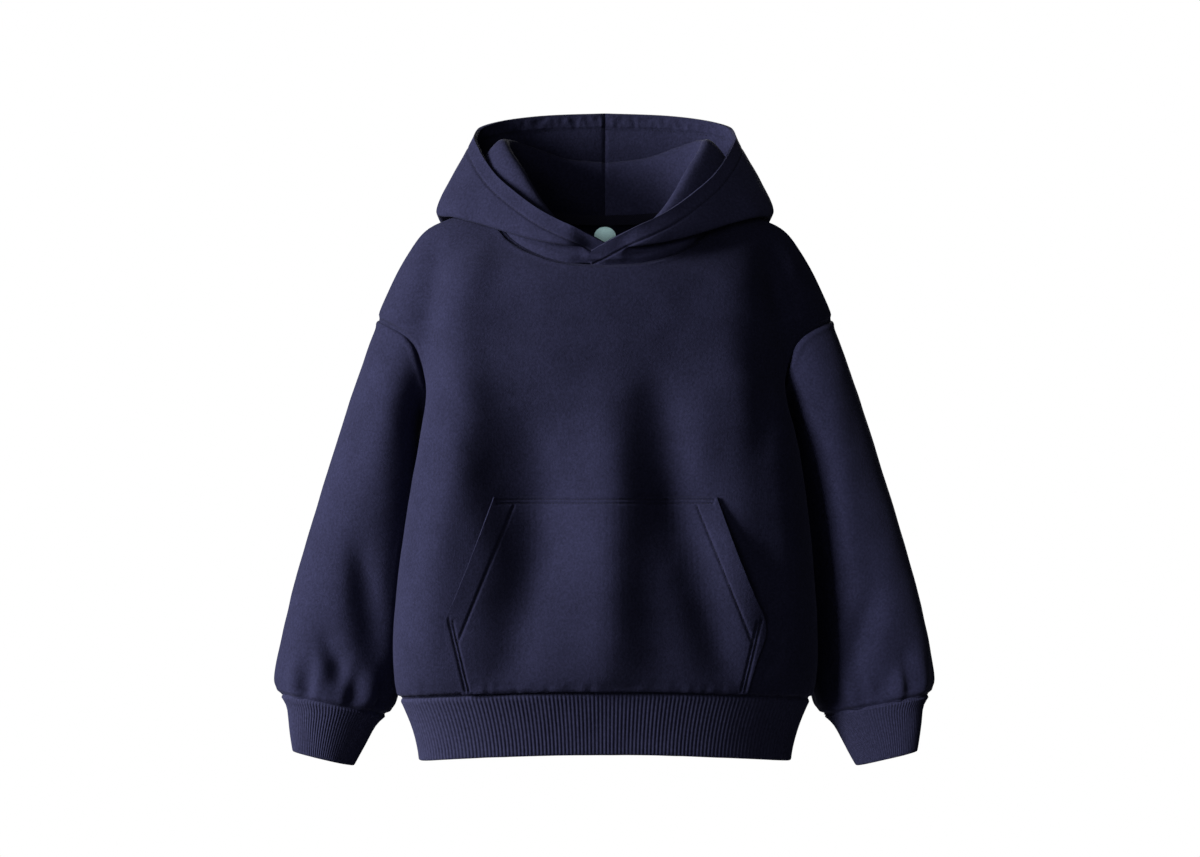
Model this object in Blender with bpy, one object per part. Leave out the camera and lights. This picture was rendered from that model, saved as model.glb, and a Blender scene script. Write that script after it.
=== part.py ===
"""A toddler's pullover hoodie in cotton fleece, filled out and hollow, with nobody in it.

Left and right are the viewer's, facing the front. X runs to the right, Y from front to back and Z up.
The origin is the middle of the neck opening, about level with the back neck seam.
Tables and sizes are in millimetres and become metres when a mesh is made.
"""
import math

import bmesh
import bpy
from mathutils import Vector
from mathutils.bvhtree import BVHTree
from mathutils.kdtree import KDTree

MM = 0.001

# Cloth
WALL = 2.0                 # fleece, and the doubled rib knit
TAPE_WALL = 1.0            # neck tape
LABEL_WALL = 0.7           # woven label
SEAM = 0.4                 # each piece stops this short of the seam line

# Body heights
HEM_SEAM = -378.0          # top of the hem band at the side seams
UNDERARM = -161.0
SHOULDER_TIP = -82.0
NECK_POINT = 9.4           # where the shoulder seam meets the neck

# How finely each piece is divided
FRONT_COLUMNS = 22
BACK_COLUMNS = 18
SIDE_STEPS = 10            # rows from hem seam to underarm
ARMHOLE_STEPS = 10         # rows along each side of an armhole
ARMHOLE_CROWD = 1.5        # how far they crowd towards the shoulder tip
SHOULDER_STEPS = 6         # rows from shoulder tip to neck
SLEEVE_ROWS = 14
HOOD_COLUMNS = 15
CREST_ROWS = 5             # neck seam to crest
VALLEY_ROWS = 6            # crest to valley
RIM_ROWS = 7               # valley to rim
HEM_RIBS = 100
CUFF_RIBS = 36
CUFF_ROWS = 2
HEM_ROWS = 2
TAPE_COLUMNS = 22
POCKET_COLUMNS = 18
POCKET_ROWS = 9

# Hem band
HEM_DEPTH = 48.0
HEM_TAPER = 15.0           # half the width lost from top to bottom
HEM_BOW = 5.5              # how far its lines rise at centre front
HEM_HALF = 157.0           # from centre to side seam, seen from the front
HEM_RIB = 0.8              # how far a rib stands out
CUFF_RIB = 0.7

TUBE_TURN = 360.0

# Sleeve gathers above the cuff
GATHERS = 12
GATHER_HEIGHT = 1.8
SLEEVE_HEAD = 0.22         # share of the sleeve over which it takes its own round section
CUFF_START = 0.020         # a cuff starts this share of its length below the seam

# Pocket
POCKET_TOP = -221.0
POCKET_CORNER = -324.0
POCKET_FOOT = -371.5
POCKET_LAY = 0.9           # air under its sewn edges
POCKET_PUFF = 7.5          # how far it stands off the body at the hand openings

# Hood
CREST_RADIUS = 3.0         # at which the cloth turns at the crest
VALLEY_RADIUS = 4.6        # and at the valley
FLAP_UNDER = 3.1           # how far the left flap lies behind the right one
FLAP_END = -7.0            # degrees past centre front at which the right flap ends
FLAP_SHORT = 5.0           # the left one ends this much sooner

# Neck tape and label
TAPE_HEIGHT = 8.0
TAPE_SPREAD = 62.0         # degrees to each side of centre back
TAPE_LAY = 1.9             # air between tape and neck seam
LABEL_WIDTH = 17.0
LABEL_HEIGHT = 12.5
LABEL_CENTRE = -14.5
LABEL_LAY = 0.7            # air between label and panel
SAME_POINT = 0.2           # points nearer than this at a seam are one point
REACH = 300.0              # how far outside the garment a line of sight starts

NAVY = (0.020, 0.021, 0.052)
NAVY_RIB = (0.017, 0.018, 0.045)
NAVY_DARK = (0.012, 0.012, 0.030)
AQUA = (0.20, 0.68, 0.72)


class Table:
    """Rows of named columns, read anywhere between the rows along smooth curves."""

    def __init__(self, names, *rows):
        self.names = names.split()
        self.columns = list(zip(*rows))

    def at(self, key, name):
        """Value of one column where the first column has the value key."""
        keys = self.columns[0]
        values = self.columns[self.names.index(name)]
        key = min(max(key, keys[0]), keys[-1])
        low = max(i for i in range(len(keys) - 1) if keys[i] <= key)
        span = keys[low + 1] - keys[low]
        t = (key - keys[low]) / span
        rise = self.slope(keys, values, low) * span
        fall = self.slope(keys, values, low + 1) * span
        a, b = values[low], values[low + 1]
        return (a * (1 + 2 * t) * (1 - t) ** 2 + b * t * t * (3 - 2 * t)
                + rise * t * (1 - t) ** 2 + fall * t * t * (t - 1))

    @staticmethod
    def slope(keys, values, i):
        """Slope of the smooth curve at a row, flat where the values turn."""
        steps = [(values[j + 1] - values[j]) / (keys[j + 1] - keys[j])
                 for j in (i - 1, i) if 0 <= j < len(keys) - 1]
        if len(steps) == 1:
            return steps[0]
        if steps[0] * steps[1] <= 0:
            return 0.0
        return 2 * steps[0] * steps[1] / (steps[0] + steps[1])


# Level sections of the body. half_width is the widest point, which lies at widest_y. front and back are
# how far it reaches from the origin's plane, and a higher squareness makes a flatter front or back.
BODY = Table(
    "height half_width widest_y front back front_square back_square",
    (-378.0, 159.5, -15, 82.0, 76.0, 3.0, 2.2),
    (-368.0, 163.5, -15, 86.0, 80.0, 3.3, 2.3),
    (-340.0, 164.8, -16, 88.5, 82.5, 3.6, 2.3),
    (-305.0, 163.0, -18, 89.0, 83.5, 3.6, 2.3),
    (-270.0, 159.0, -21, 88.0, 83.0, 3.6, 2.3),
    (-237.0, 154.5, -24, 86.0, 82.0, 3.6, 2.2),
    (-203.0, 148.5, -30, 84.0, 81.0, 3.6, 2.1),
    (-166.0, 141.5, -36, 81.5, 80.0, 3.5, 2.0),
    (-140.0, 137.5, -36, 80.0, 79.5, 3.3, 2.0),
    (-126.0, 140.0, -20, 79.4, 79.4, 3.0, 2.0),
    (-114.0, 147.0, -8, 78.6, 79.2, 2.7, 2.0),
    (-103.0, 157.0, -1, 78.0, 79.0, 2.45, 2.0),
    (-97.0, 163.5, 0, 77.5, 79.0, 2.35, 1.95),
    (-91.0, 170.0, 0, 77.0, 79.0, 2.25, 1.9),
    (-85.0, 175.5, 0, 76.2, 78.7, 2.2, 1.87),
    (-82.0, 177.0, 0, 75.9, 78.5, 2.2, 1.86),
    (-66.0, 170.5, 0, 73.5, 77.0, 2.15, 1.9),
    (-48.0, 162.5, 0, 67.5, 74.0, 2.05, 1.96),
    (-40.6, 158.5, 0, 62.0, 71.5, 2.0, 2.0),
    (-29.0, 151.5, 0, 48.5, 68.0, 2.0, 2.0),
    (-16.0, 142.5, 0, 34.5, 61.0, 2.0, 2.0),
    (-9.0, 134.5, 0, 28.0, 54.5, 2.0, 2.0),
    (-6.0, 125.0, 0, 25.0, 50.5, 2.0, 2.0),
    (-2.0, 112.0, 0, 21.5, 45.0, 2.0, 2.0),
    (3.0, 100.0, 0, 16.0, 33.0, 2.0, 2.0),
    (9.4, 88.0, 0, 8.0, 10.0, 2.0, 2.0),
)

# How far the armhole seam lies in front of the side and behind it, from underarm to shoulder tip.
ARMHOLE = Table(
    "height front_y back_y",
    (-161.0, 0, 0),
    (-152.0, -11, 16),
    (-140.0, -20, 30),
    (-126.0, -28, 40),
    (-114.0, -33, 45),
    (-103.0, -35, 44),
    (-97.0, -34, 41),
    (-91.0, -29, 33),
    (-85.0, -16, 18),
    (-82.0, 0, 0),
)

# The neck seam, by the angle round it from centre front.
NECK = Table(
    "angle x height",
    (0, 0.0, -40.6),
    (17, 26.0, -39.0),
    (28, 41.0, -36.0),
    (41, 57.5, -30.0),
    (58, 75.0, -18.5),
    (70, 82.5, -8.0),
    (82, 87.0, 5.0),
    (90, 88.0, 9.4),
    (100, 86.8, 8.6),
    (120, 76.0, 5.0),
    (140, 57.0, 0.0),
    (160, 30.0, -4.0),
    (180, 0.0, -5.0),
)

# Sections of a sleeve, from armhole to cuff: its outer and inner lines as seen from the front, where its
# middle lies from front to back, and half its depth.
SLEEVE = Table(
    "along outer_x outer_z inner_x inner_z middle_y half_depth",
    (0.00, 177.0, -82.0, 134.0, -161.0, 4, 42),
    (0.03, 179.3, -90.0, 138.0, -162.0, 5, 42),
    (0.06, 183.3, -100.0, 141.5, -164.0, 8, 43),
    (0.13, 190.7, -121.0, 143.5, -174.5, 16, 45),
    (0.23, 201.5, -152.0, 143.0, -199.0, 27, 46),
    (0.36, 214.5, -192.0, 144.5, -231.5, 34, 46),
    (0.49, 227.0, -232.0, 148.0, -265.0, 38, 46),
    (0.62, 238.5, -271.0, 152.5, -298.0, 40, 45),
    (0.76, 249.0, -311.0, 156.5, -334.0, 39, 43),
    (0.87, 255.5, -344.0, 159.0, -364.0, 37, 41),
    (0.95, 257.3, -365.0, 163.5, -383.0, 34, 38),
    (1.00, 254.0, -376.0, 171.0, -392.0, 32, 34),
)

# Sections of a cuff, in the same way, from its seam down.
CUFF = Table(
    "along outer_x outer_z inner_x inner_z middle_y half_depth",
    (0.00, 253.5, -376.0, 171.0, -392.0, 32, 34.0),
    (0.25, 248.5, -387.0, 179.0, -399.5, 31, 30.5),
    (0.60, 247.0, -402.0, 187.0, -413.5, 30, 26.5),
    (1.00, 244.0, -421.0, 197.0, -432.0, 28, 23.0),
)

# The right half of the hood, by the angle round the neck. From the neck seam the cloth rises to a crest,
# folds out and down to a valley that rests on the shoulders and back, and rises again to the rim. fold is
# 1 where it turns fully at crest and valley, and 0 where it rises straight.
HOOD = Table(
    "angle crest_x crest_y crest_z valley_x valley_y valley_z rim_x rim_y rim_z fold",
    (-7, -10.8, -62.8, -37.2, -10.9, -63.7, -34.2, -11.0, -64.7, -31.0, 0.0),
    (2, 3.5, -63.9, -34.6, 3.8, -65.7, -28.6, 4.0, -67.5, -22.5, 0.0),
    (8, 12.0, -63.8, -33.4, 12.5, -66.0, -26.0, 13.0, -68.4, -18.0, 0.0),
    (15, 21.5, -60.0, -24.5, 23.0, -66.5, -27.0, 24.0, -67.0, -12.0, 0.5),
    (22, 31.0, -52.0, -15.0, 36.0, -64.0, -25.5, 36.0, -62.0, -6.5, 1.0),
    (35, 45.0, -42.0, 0.0, 54.0, -55.0, -22.0, 53.0, -53.0, 3.0, 1.0),
    (50, 56.0, -31.0, 16.0, 76.0, -42.0, -16.0, 71.0, -38.0, 16.5, 1.0),
    (65, 66.5, -17.0, 34.0, 98.0, -27.0, -9.0, 86.5, -18.0, 31.0, 1.0),
    (80, 75.5, -2.0, 48.0, 118.5, -10.0, -3.5, 97.0, 3.0, 47.0, 1.0),
    (95, 79.5, 13.0, 56.0, 128.5, 12.0, -2.0, 102.5, 26.0, 60.0, 1.0),
    (110, 75.0, 26.0, 56.0, 124.0, 38.0, -11.0, 100.0, 47.0, 67.0, 1.0),
    (130, 57.0, 37.0, 50.0, 103.0, 65.0, -24.0, 80.0, 63.0, 74.0, 1.0),
    (155, 27.0, 43.5, 41.0, 53.0, 85.0, -36.0, 42.0, 71.5, 78.5, 1.0),
    (180, 0.0, 45.0, 38.5, 0.0, 91.0, -40.0, 0.0, 73.5, 80.0, 1.0),
)

# Half the pocket's width, by height.
POCKET = Table(
    "height half_width",
    (-375.0, 110.0),
    (-350.0, 117.0),
    (-324.0, 124.0),
    (-318.0, 123.0),
    (-298.0, 115.0),
    (-270.0, 104.0),
    (-221.0, 86.0),
)

# Soft folds pressed into the body (or standing out where depth is negative), as lines seen from the front.
FRONT_FOLDS = (
    dict(x1=-130, z1=-34, x2=-139, z2=-94, width=10, depth=6.0),
    dict(x1=130, z1=-30, x2=140, z2=-94, width=10, depth=7.0),
    dict(x1=-112, z1=-50, x2=-114, z2=-215, width=20, depth=-4.5),
    dict(x1=-122, z1=-215, x2=-138, z2=-330, width=18, depth=-2.5),
    dict(x1=-58, z1=-115, x2=-50, z2=-262, width=30, depth=6.5),
    dict(x1=-52, z1=-250, x2=-74, z2=-365, width=26, depth=5.0),
    dict(x1=2, z1=-160, x2=4, z2=-355, width=22, depth=-6.5),
    dict(x1=30, z1=-100, x2=50, z2=-228, width=20, depth=3.0),
    dict(x1=50, z1=-218, x2=94, z2=-355, width=20, depth=5.0),
    dict(x1=108, z1=-55, x2=110, z2=-235, width=30, depth=-8.0),
    dict(x1=110, z1=-225, x2=106, z2=-350, width=22, depth=-4.0),
)
BACK_FOLDS = (
    dict(x1=-128, z1=-40, x2=-134, z2=-112, width=10, depth=4.0),
    dict(x1=128, z1=-40, x2=134, z2=-112, width=10, depth=4.5),
    dict(x1=-60, z1=-210, x2=-82, z2=-350, width=17, depth=2.5),
    dict(x1=48, z1=-190, x2=70, z2=-350, width=17, depth=2.5),
    dict(x1=0, z1=-250, x2=-8, z2=-350, width=20, depth=-2.0),
)
LEFT_SLEEVE_FOLDS = (
    dict(x1=182, z1=-160, x2=181, z2=-330, width=13, depth=4.5),
    dict(x1=166, z1=-150, x2=164, z2=-270, width=11, depth=-3.0),
    dict(x1=221, z1=-330, x2=204, z2=-366, width=9, depth=3.0),
)
RIGHT_SLEEVE_FOLDS = (
    dict(x1=211, z1=-300, x2=192, z2=-355, width=11, depth=4.0),
    dict(x1=239, z1=-340, x2=216, z2=-374, width=9, depth=3.0),
    dict(x1=184, z1=-150, x2=190, z2=-300, width=16, depth=-2.5),
)


def mix(a, b, t):
    """Value that lies the fraction t of the way from a to b."""
    return a + (b - a) * t


def ramp(low, high, value):
    """Smooth rise from 0 to 1 between two values."""
    t = min(max((value - low) / (high - low), 0.0), 1.0)
    return t * t * (3 - 2 * t)


def oval(share, square):
    """Height of a rounded outline at a share of its half width."""
    return max(1 - min(abs(share), 1.0) ** square, 0.0) ** (1 / square)


def body_section(height, angle):
    """Point of the body's level section. The angle runs from 0 at centre front to 180 at centre back."""
    side = math.sin(math.radians(angle))
    widest_y = BODY.at(height, "widest_y")
    x = BODY.at(height, "half_width") * side
    if abs(angle) <= 90:
        deep = BODY.at(height, "front") + widest_y
        return x, widest_y - deep * oval(side, BODY.at(height, "front_square"))
    deep = BODY.at(height, "back") - widest_y
    return x, widest_y + deep * oval(side, BODY.at(height, "back_square"))


def section_angle(height, y):
    """Angle at which the right side of a level section passes a given y."""
    widest_y = BODY.at(height, "widest_y")
    if y <= widest_y:
        share = (widest_y - y) / (BODY.at(height, "front") + widest_y)
        return math.degrees(math.asin(oval(share, BODY.at(height, "front_square"))))
    share = (y - widest_y) / (BODY.at(height, "back") - widest_y)
    return 180 - math.degrees(math.asin(oval(share, BODY.at(height, "back_square"))))


def panel_edge(height, face):
    """Angle of the right edge of the front or back panel: side seam, armhole and shoulder seam."""
    return section_angle(height, ARMHOLE.at(height, face + "_y"))


def panel_heights():
    """Heights of a panel's rows along its edge, from hem seam to neck."""
    side = [mix(HEM_SEAM, UNDERARM, (i / SIDE_STEPS) ** 1.12) for i in range(SIDE_STEPS)]
    armhole = [mix(UNDERARM, SHOULDER_TIP, 1 - (1 - i / ARMHOLE_STEPS) ** ARMHOLE_CROWD)
               for i in range(ARMHOLE_STEPS)]
    shoulder = [mix(SHOULDER_TIP, NECK_POINT, 1 - (1 - i / SHOULDER_STEPS) ** 1.5)
                for i in range(SHOULDER_STEPS + 1)]
    return side + armhole + shoulder


def neck_point(angle):
    """Point of the neck seam on the body's surface."""
    x = NECK.at(abs(angle), "x")
    height = NECK.at(abs(angle), "height")
    share = x / BODY.at(height, "half_width")
    if abs(angle) <= 90:
        y = -BODY.at(height, "front") * oval(share, 2.0)
    else:
        y = BODY.at(height, "back") * oval(share, 2.0)
    return Vector((math.copysign(x, angle), y, height))


def middle_height(edge_height):
    """Height at a panel's middle of the row that meets its edge at a given height."""
    if not UNDERARM < edge_height < SHOULDER_TIP:
        return edge_height
    share = (edge_height - UNDERARM) / (SHOULDER_TIP - UNDERARM)
    return mix(UNDERARM, SHOULDER_TIP, 1 - (1 - share) ** (1 / ARMHOLE_CROWD))


def panel_point(face, across, edge_height):
    """Point of a body panel. across runs from -1 to 1, and edge_height is the row's height at its edge."""
    share = abs(across)
    centre = 0.0 if face == "front" else 180.0
    end = panel_edge(edge_height, face)
    spread = 1.12 * share - 0.12 * share ** 3
    angle = mix(centre, end, spread)
    height = mix(middle_height(edge_height), edge_height, share ** 2)
    climb = (edge_height - SHOULDER_TIP) / (NECK_POINT - SHOULDER_TIP)
    if climb > 0:
        seam = neck_point(mix(centre, 90.0, spread))
        height = edge_height + (seam.z - NECK_POINT) * climb
        seam_share = min(seam.x / BODY.at(seam.z, "half_width"), 1.0)
        seam_angle = math.degrees(math.asin(seam_share))
        angle = mix(angle, abs(centre - seam_angle), climb)
    x, y = body_section(height, angle)
    height += hem_rise(x, face) * ramp(-300, HEM_SEAM, edge_height)
    return Vector((math.copysign(x, across), y, height))


def hem_rise(x, face):
    """How far the hem line lies above its height at the side seams."""
    share = min(abs(x) / HEM_HALF, 1.0)
    return (HEM_BOW if face == "front" else 0.3 * HEM_BOW) * (1 - share ** 2)


def fold_height(folds, x, z):
    """How far the cloth stands out at a place seen from the front, from the folds that pass it."""
    out = 0.0
    for fold in folds:
        start = Vector((fold["x1"], fold["z1"]))
        run = Vector((fold["x2"], fold["z2"])) - start
        place = Vector((x, z)) - start
        t = min(max(place.dot(run) / run.length_squared, 0.0), 1.0)
        away = (place - run * t).length / fold["width"]
        fade = math.sin(math.pi * (0.15 + 0.7 * t))
        out -= fold["depth"] * fade * math.exp(-away * away)
    return out


def new_grid(columns, rows, place):
    """Mesh of a sheet. place gives the point for shares u across and v up, both from 0 to 1."""
    bm = bmesh.new()
    bmesh.ops.create_grid(bm, x_segments=columns, y_segments=rows, size=0.5)
    for vert in bm.verts:
        vert.co = place(vert.co.x + 0.5, vert.co.y + 0.5)
    bm.normal_update()
    return bm


def weld(bm):
    """Join the edges of a sheet that meet round a tube."""
    bmesh.ops.remove_doubles(bm, verts=bm.verts, dist=1e-4)
    bm.normal_update()


def draw_in(bm, gap, free=()):
    """Draw a sheet's edges in, so that it stops short of its seams. free has the points of unsewn edges."""
    moves = []
    for vert in bm.verts:
        if not vert.is_boundary or vert.index in free:
            continue
        inward = [edge.other_vert(vert).co - vert.co for edge in vert.link_edges if not edge.is_boundary]
        corner = [edge.other_vert(vert).co - vert.co for edge in vert.link_edges]
        steps = inward[:1] or corner
        moves.append((vert, sum((step.normalized() * gap for step in steps), Vector())))
    for vert, move in moves:
        vert.co += move


def close_shell(bm, wall, normals=None):
    """Make a sheet a closed wall, thickened on its inner side along the normals of its points."""
    bmesh.ops.triangulate(bm, faces=bm.faces[:], quad_method="SHORT_EDGE")
    bm.verts.ensure_lookup_table()
    bm.verts.index_update()
    if normals is None:
        bm.normal_update()
        normals = [vert.normal.copy() for vert in bm.verts]
    inner = {vert.co.to_tuple(5): vert.co - normals[vert.index] * wall for vert in bm.verts}
    outer = set(bm.verts)
    bmesh.ops.extrude_face_region(bm, geom=bm.faces[:])
    for vert in bm.verts:
        if vert not in outer:
            vert.co = inner[vert.co.to_tuple(5)]
    bmesh.ops.recalc_face_normals(bm, faces=bm.faces)


def new_object(name, bm, collection, colour, roughness):
    """Object with its own material from a mesh in millimetres."""
    bmesh.ops.scale(bm, vec=(MM, MM, MM), verts=bm.verts)
    mesh = bpy.data.meshes.new(name)
    bm.to_mesh(mesh)
    bm.free()
    mesh.shade_smooth()
    mesh.set_sharp_from_angle(angle=math.radians(50))
    piece = bpy.data.objects.new(name, mesh)
    collection.objects.link(piece)
    material = bpy.data.materials.new(name)
    material.use_nodes = True
    shader = material.node_tree.nodes["Principled BSDF"]
    shader.inputs["Base Color"].default_value = (*colour, 1.0)
    shader.inputs["Roughness"].default_value = roughness
    shader.inputs["Metallic"].default_value = 0.0
    mesh.materials.append(material)
    return piece


def panel_sheet(face):
    """Open sheet of the front or back panel."""
    heights = panel_heights()
    turn = 1.0 if face == "front" else -1.0
    folds = FRONT_FOLDS if face == "front" else BACK_FOLDS
    columns = FRONT_COLUMNS if face == "front" else BACK_COLUMNS
    rows = len(heights) - 1

    def place(u, v):
        co = panel_point(face, turn * (2 * u - 1), heights[round(v * rows)])
        fade = ramp(HEM_SEAM - 2, HEM_SEAM + 22, co.z) * ramp(0, 0.1, 1 - abs(2 * u - 1))
        co.y -= turn * fold_height(folds, co.x, co.z) * fade
        return co

    return new_grid(columns, rows, place)


def share_normals(sheets):
    """Normals of each sheet's points, the same for all sheets where they meet at a seam."""
    edges = [(vert.co.copy(), vert.normal.copy()) for bm in sheets for vert in bm.verts if vert.is_boundary]
    tree = KDTree(len(edges))
    for i, (co, _) in enumerate(edges):
        tree.insert(co, i)
    tree.balance()

    def shared(vert):
        near = tree.find_range(vert.co, SAME_POINT) if vert.is_boundary else []
        return sum((edges[i][1] for _, i, _ in near), Vector(vert.normal * 0.001)).normalized()

    return [[shared(vert) for vert in bm.verts] for bm in sheets]


def add_panels(collection):
    """Front and back panel, whose walls meet at the side and shoulder seams."""
    sheets = [panel_sheet("front"), panel_sheet("back")]
    for name, bm, normals in zip(("front_panel", "back_panel"), sheets, share_normals(sheets)):
        draw_in(bm, SEAM)
        close_shell(bm, WALL, normals)
        new_object(name, bm, collection, NAVY, 0.9)


def oval_section(table, along, angle):
    """Point of a tube's section. The angle is 0 on its outer line, 90 in front and 180 on its inner line."""
    turn = math.radians(angle)
    outer = Vector((table.at(along, "outer_x"), 0, table.at(along, "outer_z")))
    inner = Vector((table.at(along, "inner_x"), 0, table.at(along, "inner_z")))
    point = (outer + inner) / 2 + (outer - inner) / 2 * math.cos(turn)
    point.y = table.at(along, "middle_y") - table.at(along, "half_depth") * math.sin(turn)
    return point


def section_middle(table, along):
    """Middle of a tube's section."""
    return (oval_section(table, along, 0.0) + oval_section(table, along, 180.0)) / 2


def armhole_points():
    """Seam points of the right armhole, in turn from the shoulder tip down its front and up its back."""
    heights = [h for h in panel_heights() if UNDERARM <= h <= SHOULDER_TIP]
    front = [panel_point("front", 1.0, h) for h in reversed(heights)]
    back = [panel_point("back", 1.0, h) for h in heights]
    return front + back[1:]


def armhole_angles(points):
    """Section angle for each seam point, by its share of the way along its side of the seam."""
    half = len(points) // 2
    angles = [0.0]
    for side in (points[:half + 1], points[half:]):
        steps = [(b - a).length for a, b in zip(side, side[1:])]
        start = angles[-1]
        for i in range(len(steps)):
            angles.append(start + 180.0 * sum(steps[:i + 1]) / sum(steps))
    return angles


def add_sleeve(collection, name, side):
    """Sleeve from armhole to cuff seam. side is -1 for the left one."""
    seam = armhole_points()
    angles = armhole_angles(seam)
    columns = len(seam) - 1
    folds = RIGHT_SLEEVE_FOLDS if side > 0 else LEFT_SLEEVE_FOLDS

    def place(u, v):
        i = round((1 - u if side > 0 else u) * columns)
        along = 1 - v
        reach = 1 - ramp(0.0, SLEEVE_HEAD, along)
        co = oval_section(SLEEVE, along, angles[i])
        co += (seam[i] - oval_section(SLEEVE, 0.0, angles[i])) * reach
        gather = math.cos(math.radians(angles[i]) * GATHERS) * GATHER_HEIGHT
        gather *= ramp(0.80, 0.94, along) * (1 - 0.75 * ramp(0.95, 1.0, along))
        co += (co - section_middle(SLEEVE, along)).normalized() * gather
        if co.y < section_middle(SLEEVE, along).y:
            co.y -= fold_height(folds, co.x, co.z) * math.sin(math.radians(angles[i]))
        return Vector((co.x * side, co.y, co.z))

    bm = new_grid(columns, SLEEVE_ROWS, place)
    weld(bm)
    bm.verts.index_update()
    draw_in(bm, SEAM)
    close_shell(bm, WALL)
    new_object(name, bm, collection, NAVY, 0.9)


def add_ring(collection, name, columns, outer_rows, point, raised, colour):
    """Ring of cloth whose section is a closed loop: down its outer face, and up a plain inner one.

    point gives the plain outer face for an angle and a share of the way down, and raised the height of
    its ribs. Both ends stop short of the seam line.
    """
    rows = 2 * outer_rows + 2

    def normal(angle, down):
        across = point(angle + 1, down) - point(angle - 1, down)
        along = point(angle, min(down + 0.05, 1)) - point(angle, max(down - 0.05, 0))
        return along.cross(across).normalized()

    def place(u, v):
        angle = TUBE_TURN * u
        row = round(v * rows) % rows
        if row <= outer_rows:
            down = row / outer_rows
            lift = raised(round(u * columns), down)
        else:
            down = 1 - (row - outer_rows - 1) / outer_rows
            lift = -WALL
        co = point(angle, down)
        out = normal(angle, down)
        return co + out * lift

    bm = new_grid(columns, rows, place)
    weld(bm)
    bmesh.ops.recalc_face_normals(bm, faces=bm.faces)
    new_object(name, bm, collection, colour, 0.9)


def add_hem_band(collection):
    """Ribbed band round the body's lower edge."""
    def point(angle, down):
        angle %= TUBE_TURN
        turn = angle if angle <= 180 else TUBE_TURN - angle
        x, y = body_section(HEM_SEAM, turn)
        x = math.copysign(x, 180 - angle)
        face = "front" if turn < 90 else "back"
        lost = HEM_TAPER * (1 - (1 - down) ** 1.6)
        shrink = 1 - lost / BODY.at(HEM_SEAM, "half_width")
        height = HEM_SEAM - SEAM - HEM_DEPTH * down + hem_rise(x, face)
        return Vector((x * shrink, y * (1 - 0.9 * (1 - shrink)), height))

    def raised(column, down):
        return HEM_RIB * (column % 2)

    add_ring(collection, "hem_band", 2 * HEM_RIBS, HEM_ROWS, point, raised, NAVY_RIB)


def add_cuff(collection, name, side):
    """Ribbed cuff below a sleeve. side is -1 for the left one."""
    def point(angle, down):
        co = oval_section(CUFF, mix(CUFF_START, 1.0, down), -side * angle)
        return Vector((co.x * side, co.y, co.z))

    def raised(column, down):
        return CUFF_RIB * (column % 2)

    add_ring(collection, name, 2 * CUFF_RIBS, CUFF_ROWS, point, raised, NAVY_RIB)


def on_panel(tree, x, z, toward):
    """Point and outward direction of a panel's sheet, met when looking along Y from the outside."""
    start = Vector((x, -toward * REACH, z))
    hit, out, _, _ = tree.ray_cast(start, Vector((0, toward, 0)))
    return hit, out


def add_pocket(collection):
    """Kangaroo pocket, laid on the front panel and standing off it at the two hand openings."""
    sheet = panel_sheet("front")
    tree = BVHTree.FromBMesh(sheet)
    sheet.free()

    def place(u, v):
        across = 2 * u - 1
        z = mix(POCKET_FOOT - hem_rise(0.0, "front"), POCKET_TOP, v)
        x = across * POCKET.at(z, "half_width")
        z += hem_rise(x, "front") * (1 - v)
        co, out = on_panel(tree, x, z, 1.0)
        open_share = min(max((z - POCKET_CORNER) / (POCKET_TOP - POCKET_CORNER), 0.0), 1.0)
        at_side = math.sin(math.pi * open_share) ** 0.7
        at_middle = math.sin(math.pi * v) ** 0.7 * 0.75
        puff = mix(at_middle, at_side, abs(across) ** 1.5) * POCKET_PUFF
        return co + out * (POCKET_LAY + WALL) - Vector((0, puff, 0))

    bm = new_grid(POCKET_COLUMNS, POCKET_ROWS, place)
    close_shell(bm, WALL)
    new_object("pocket", bm, collection, NAVY, 0.9)


def curve_through(a, leave, b, arrive, t):
    """Point of the smooth curve from a to b that leaves and arrives along the given directions."""
    return (a * (1 + 2 * t) * (1 - t) ** 2 + b * t * t * (3 - 2 * t)
            + leave * t * (1 - t) ** 2 + arrive * t * t * (t - 1))


def hood_line(name, angle):
    """Point of the hood's crest, valley or rim."""
    if angle > 180:
        return hood_line(name, TUBE_TURN - angle) * Vector((-1, 1, 1))
    return Vector(tuple(HOOD.at(angle, f"{name}_{axis}") for axis in "xyz"))


def turning(a, b, radius):
    """How far a smooth curve between two heights sets out level, to turn at the given radius."""
    return math.sqrt(6 * radius * abs(a.z - b.z))


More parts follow.
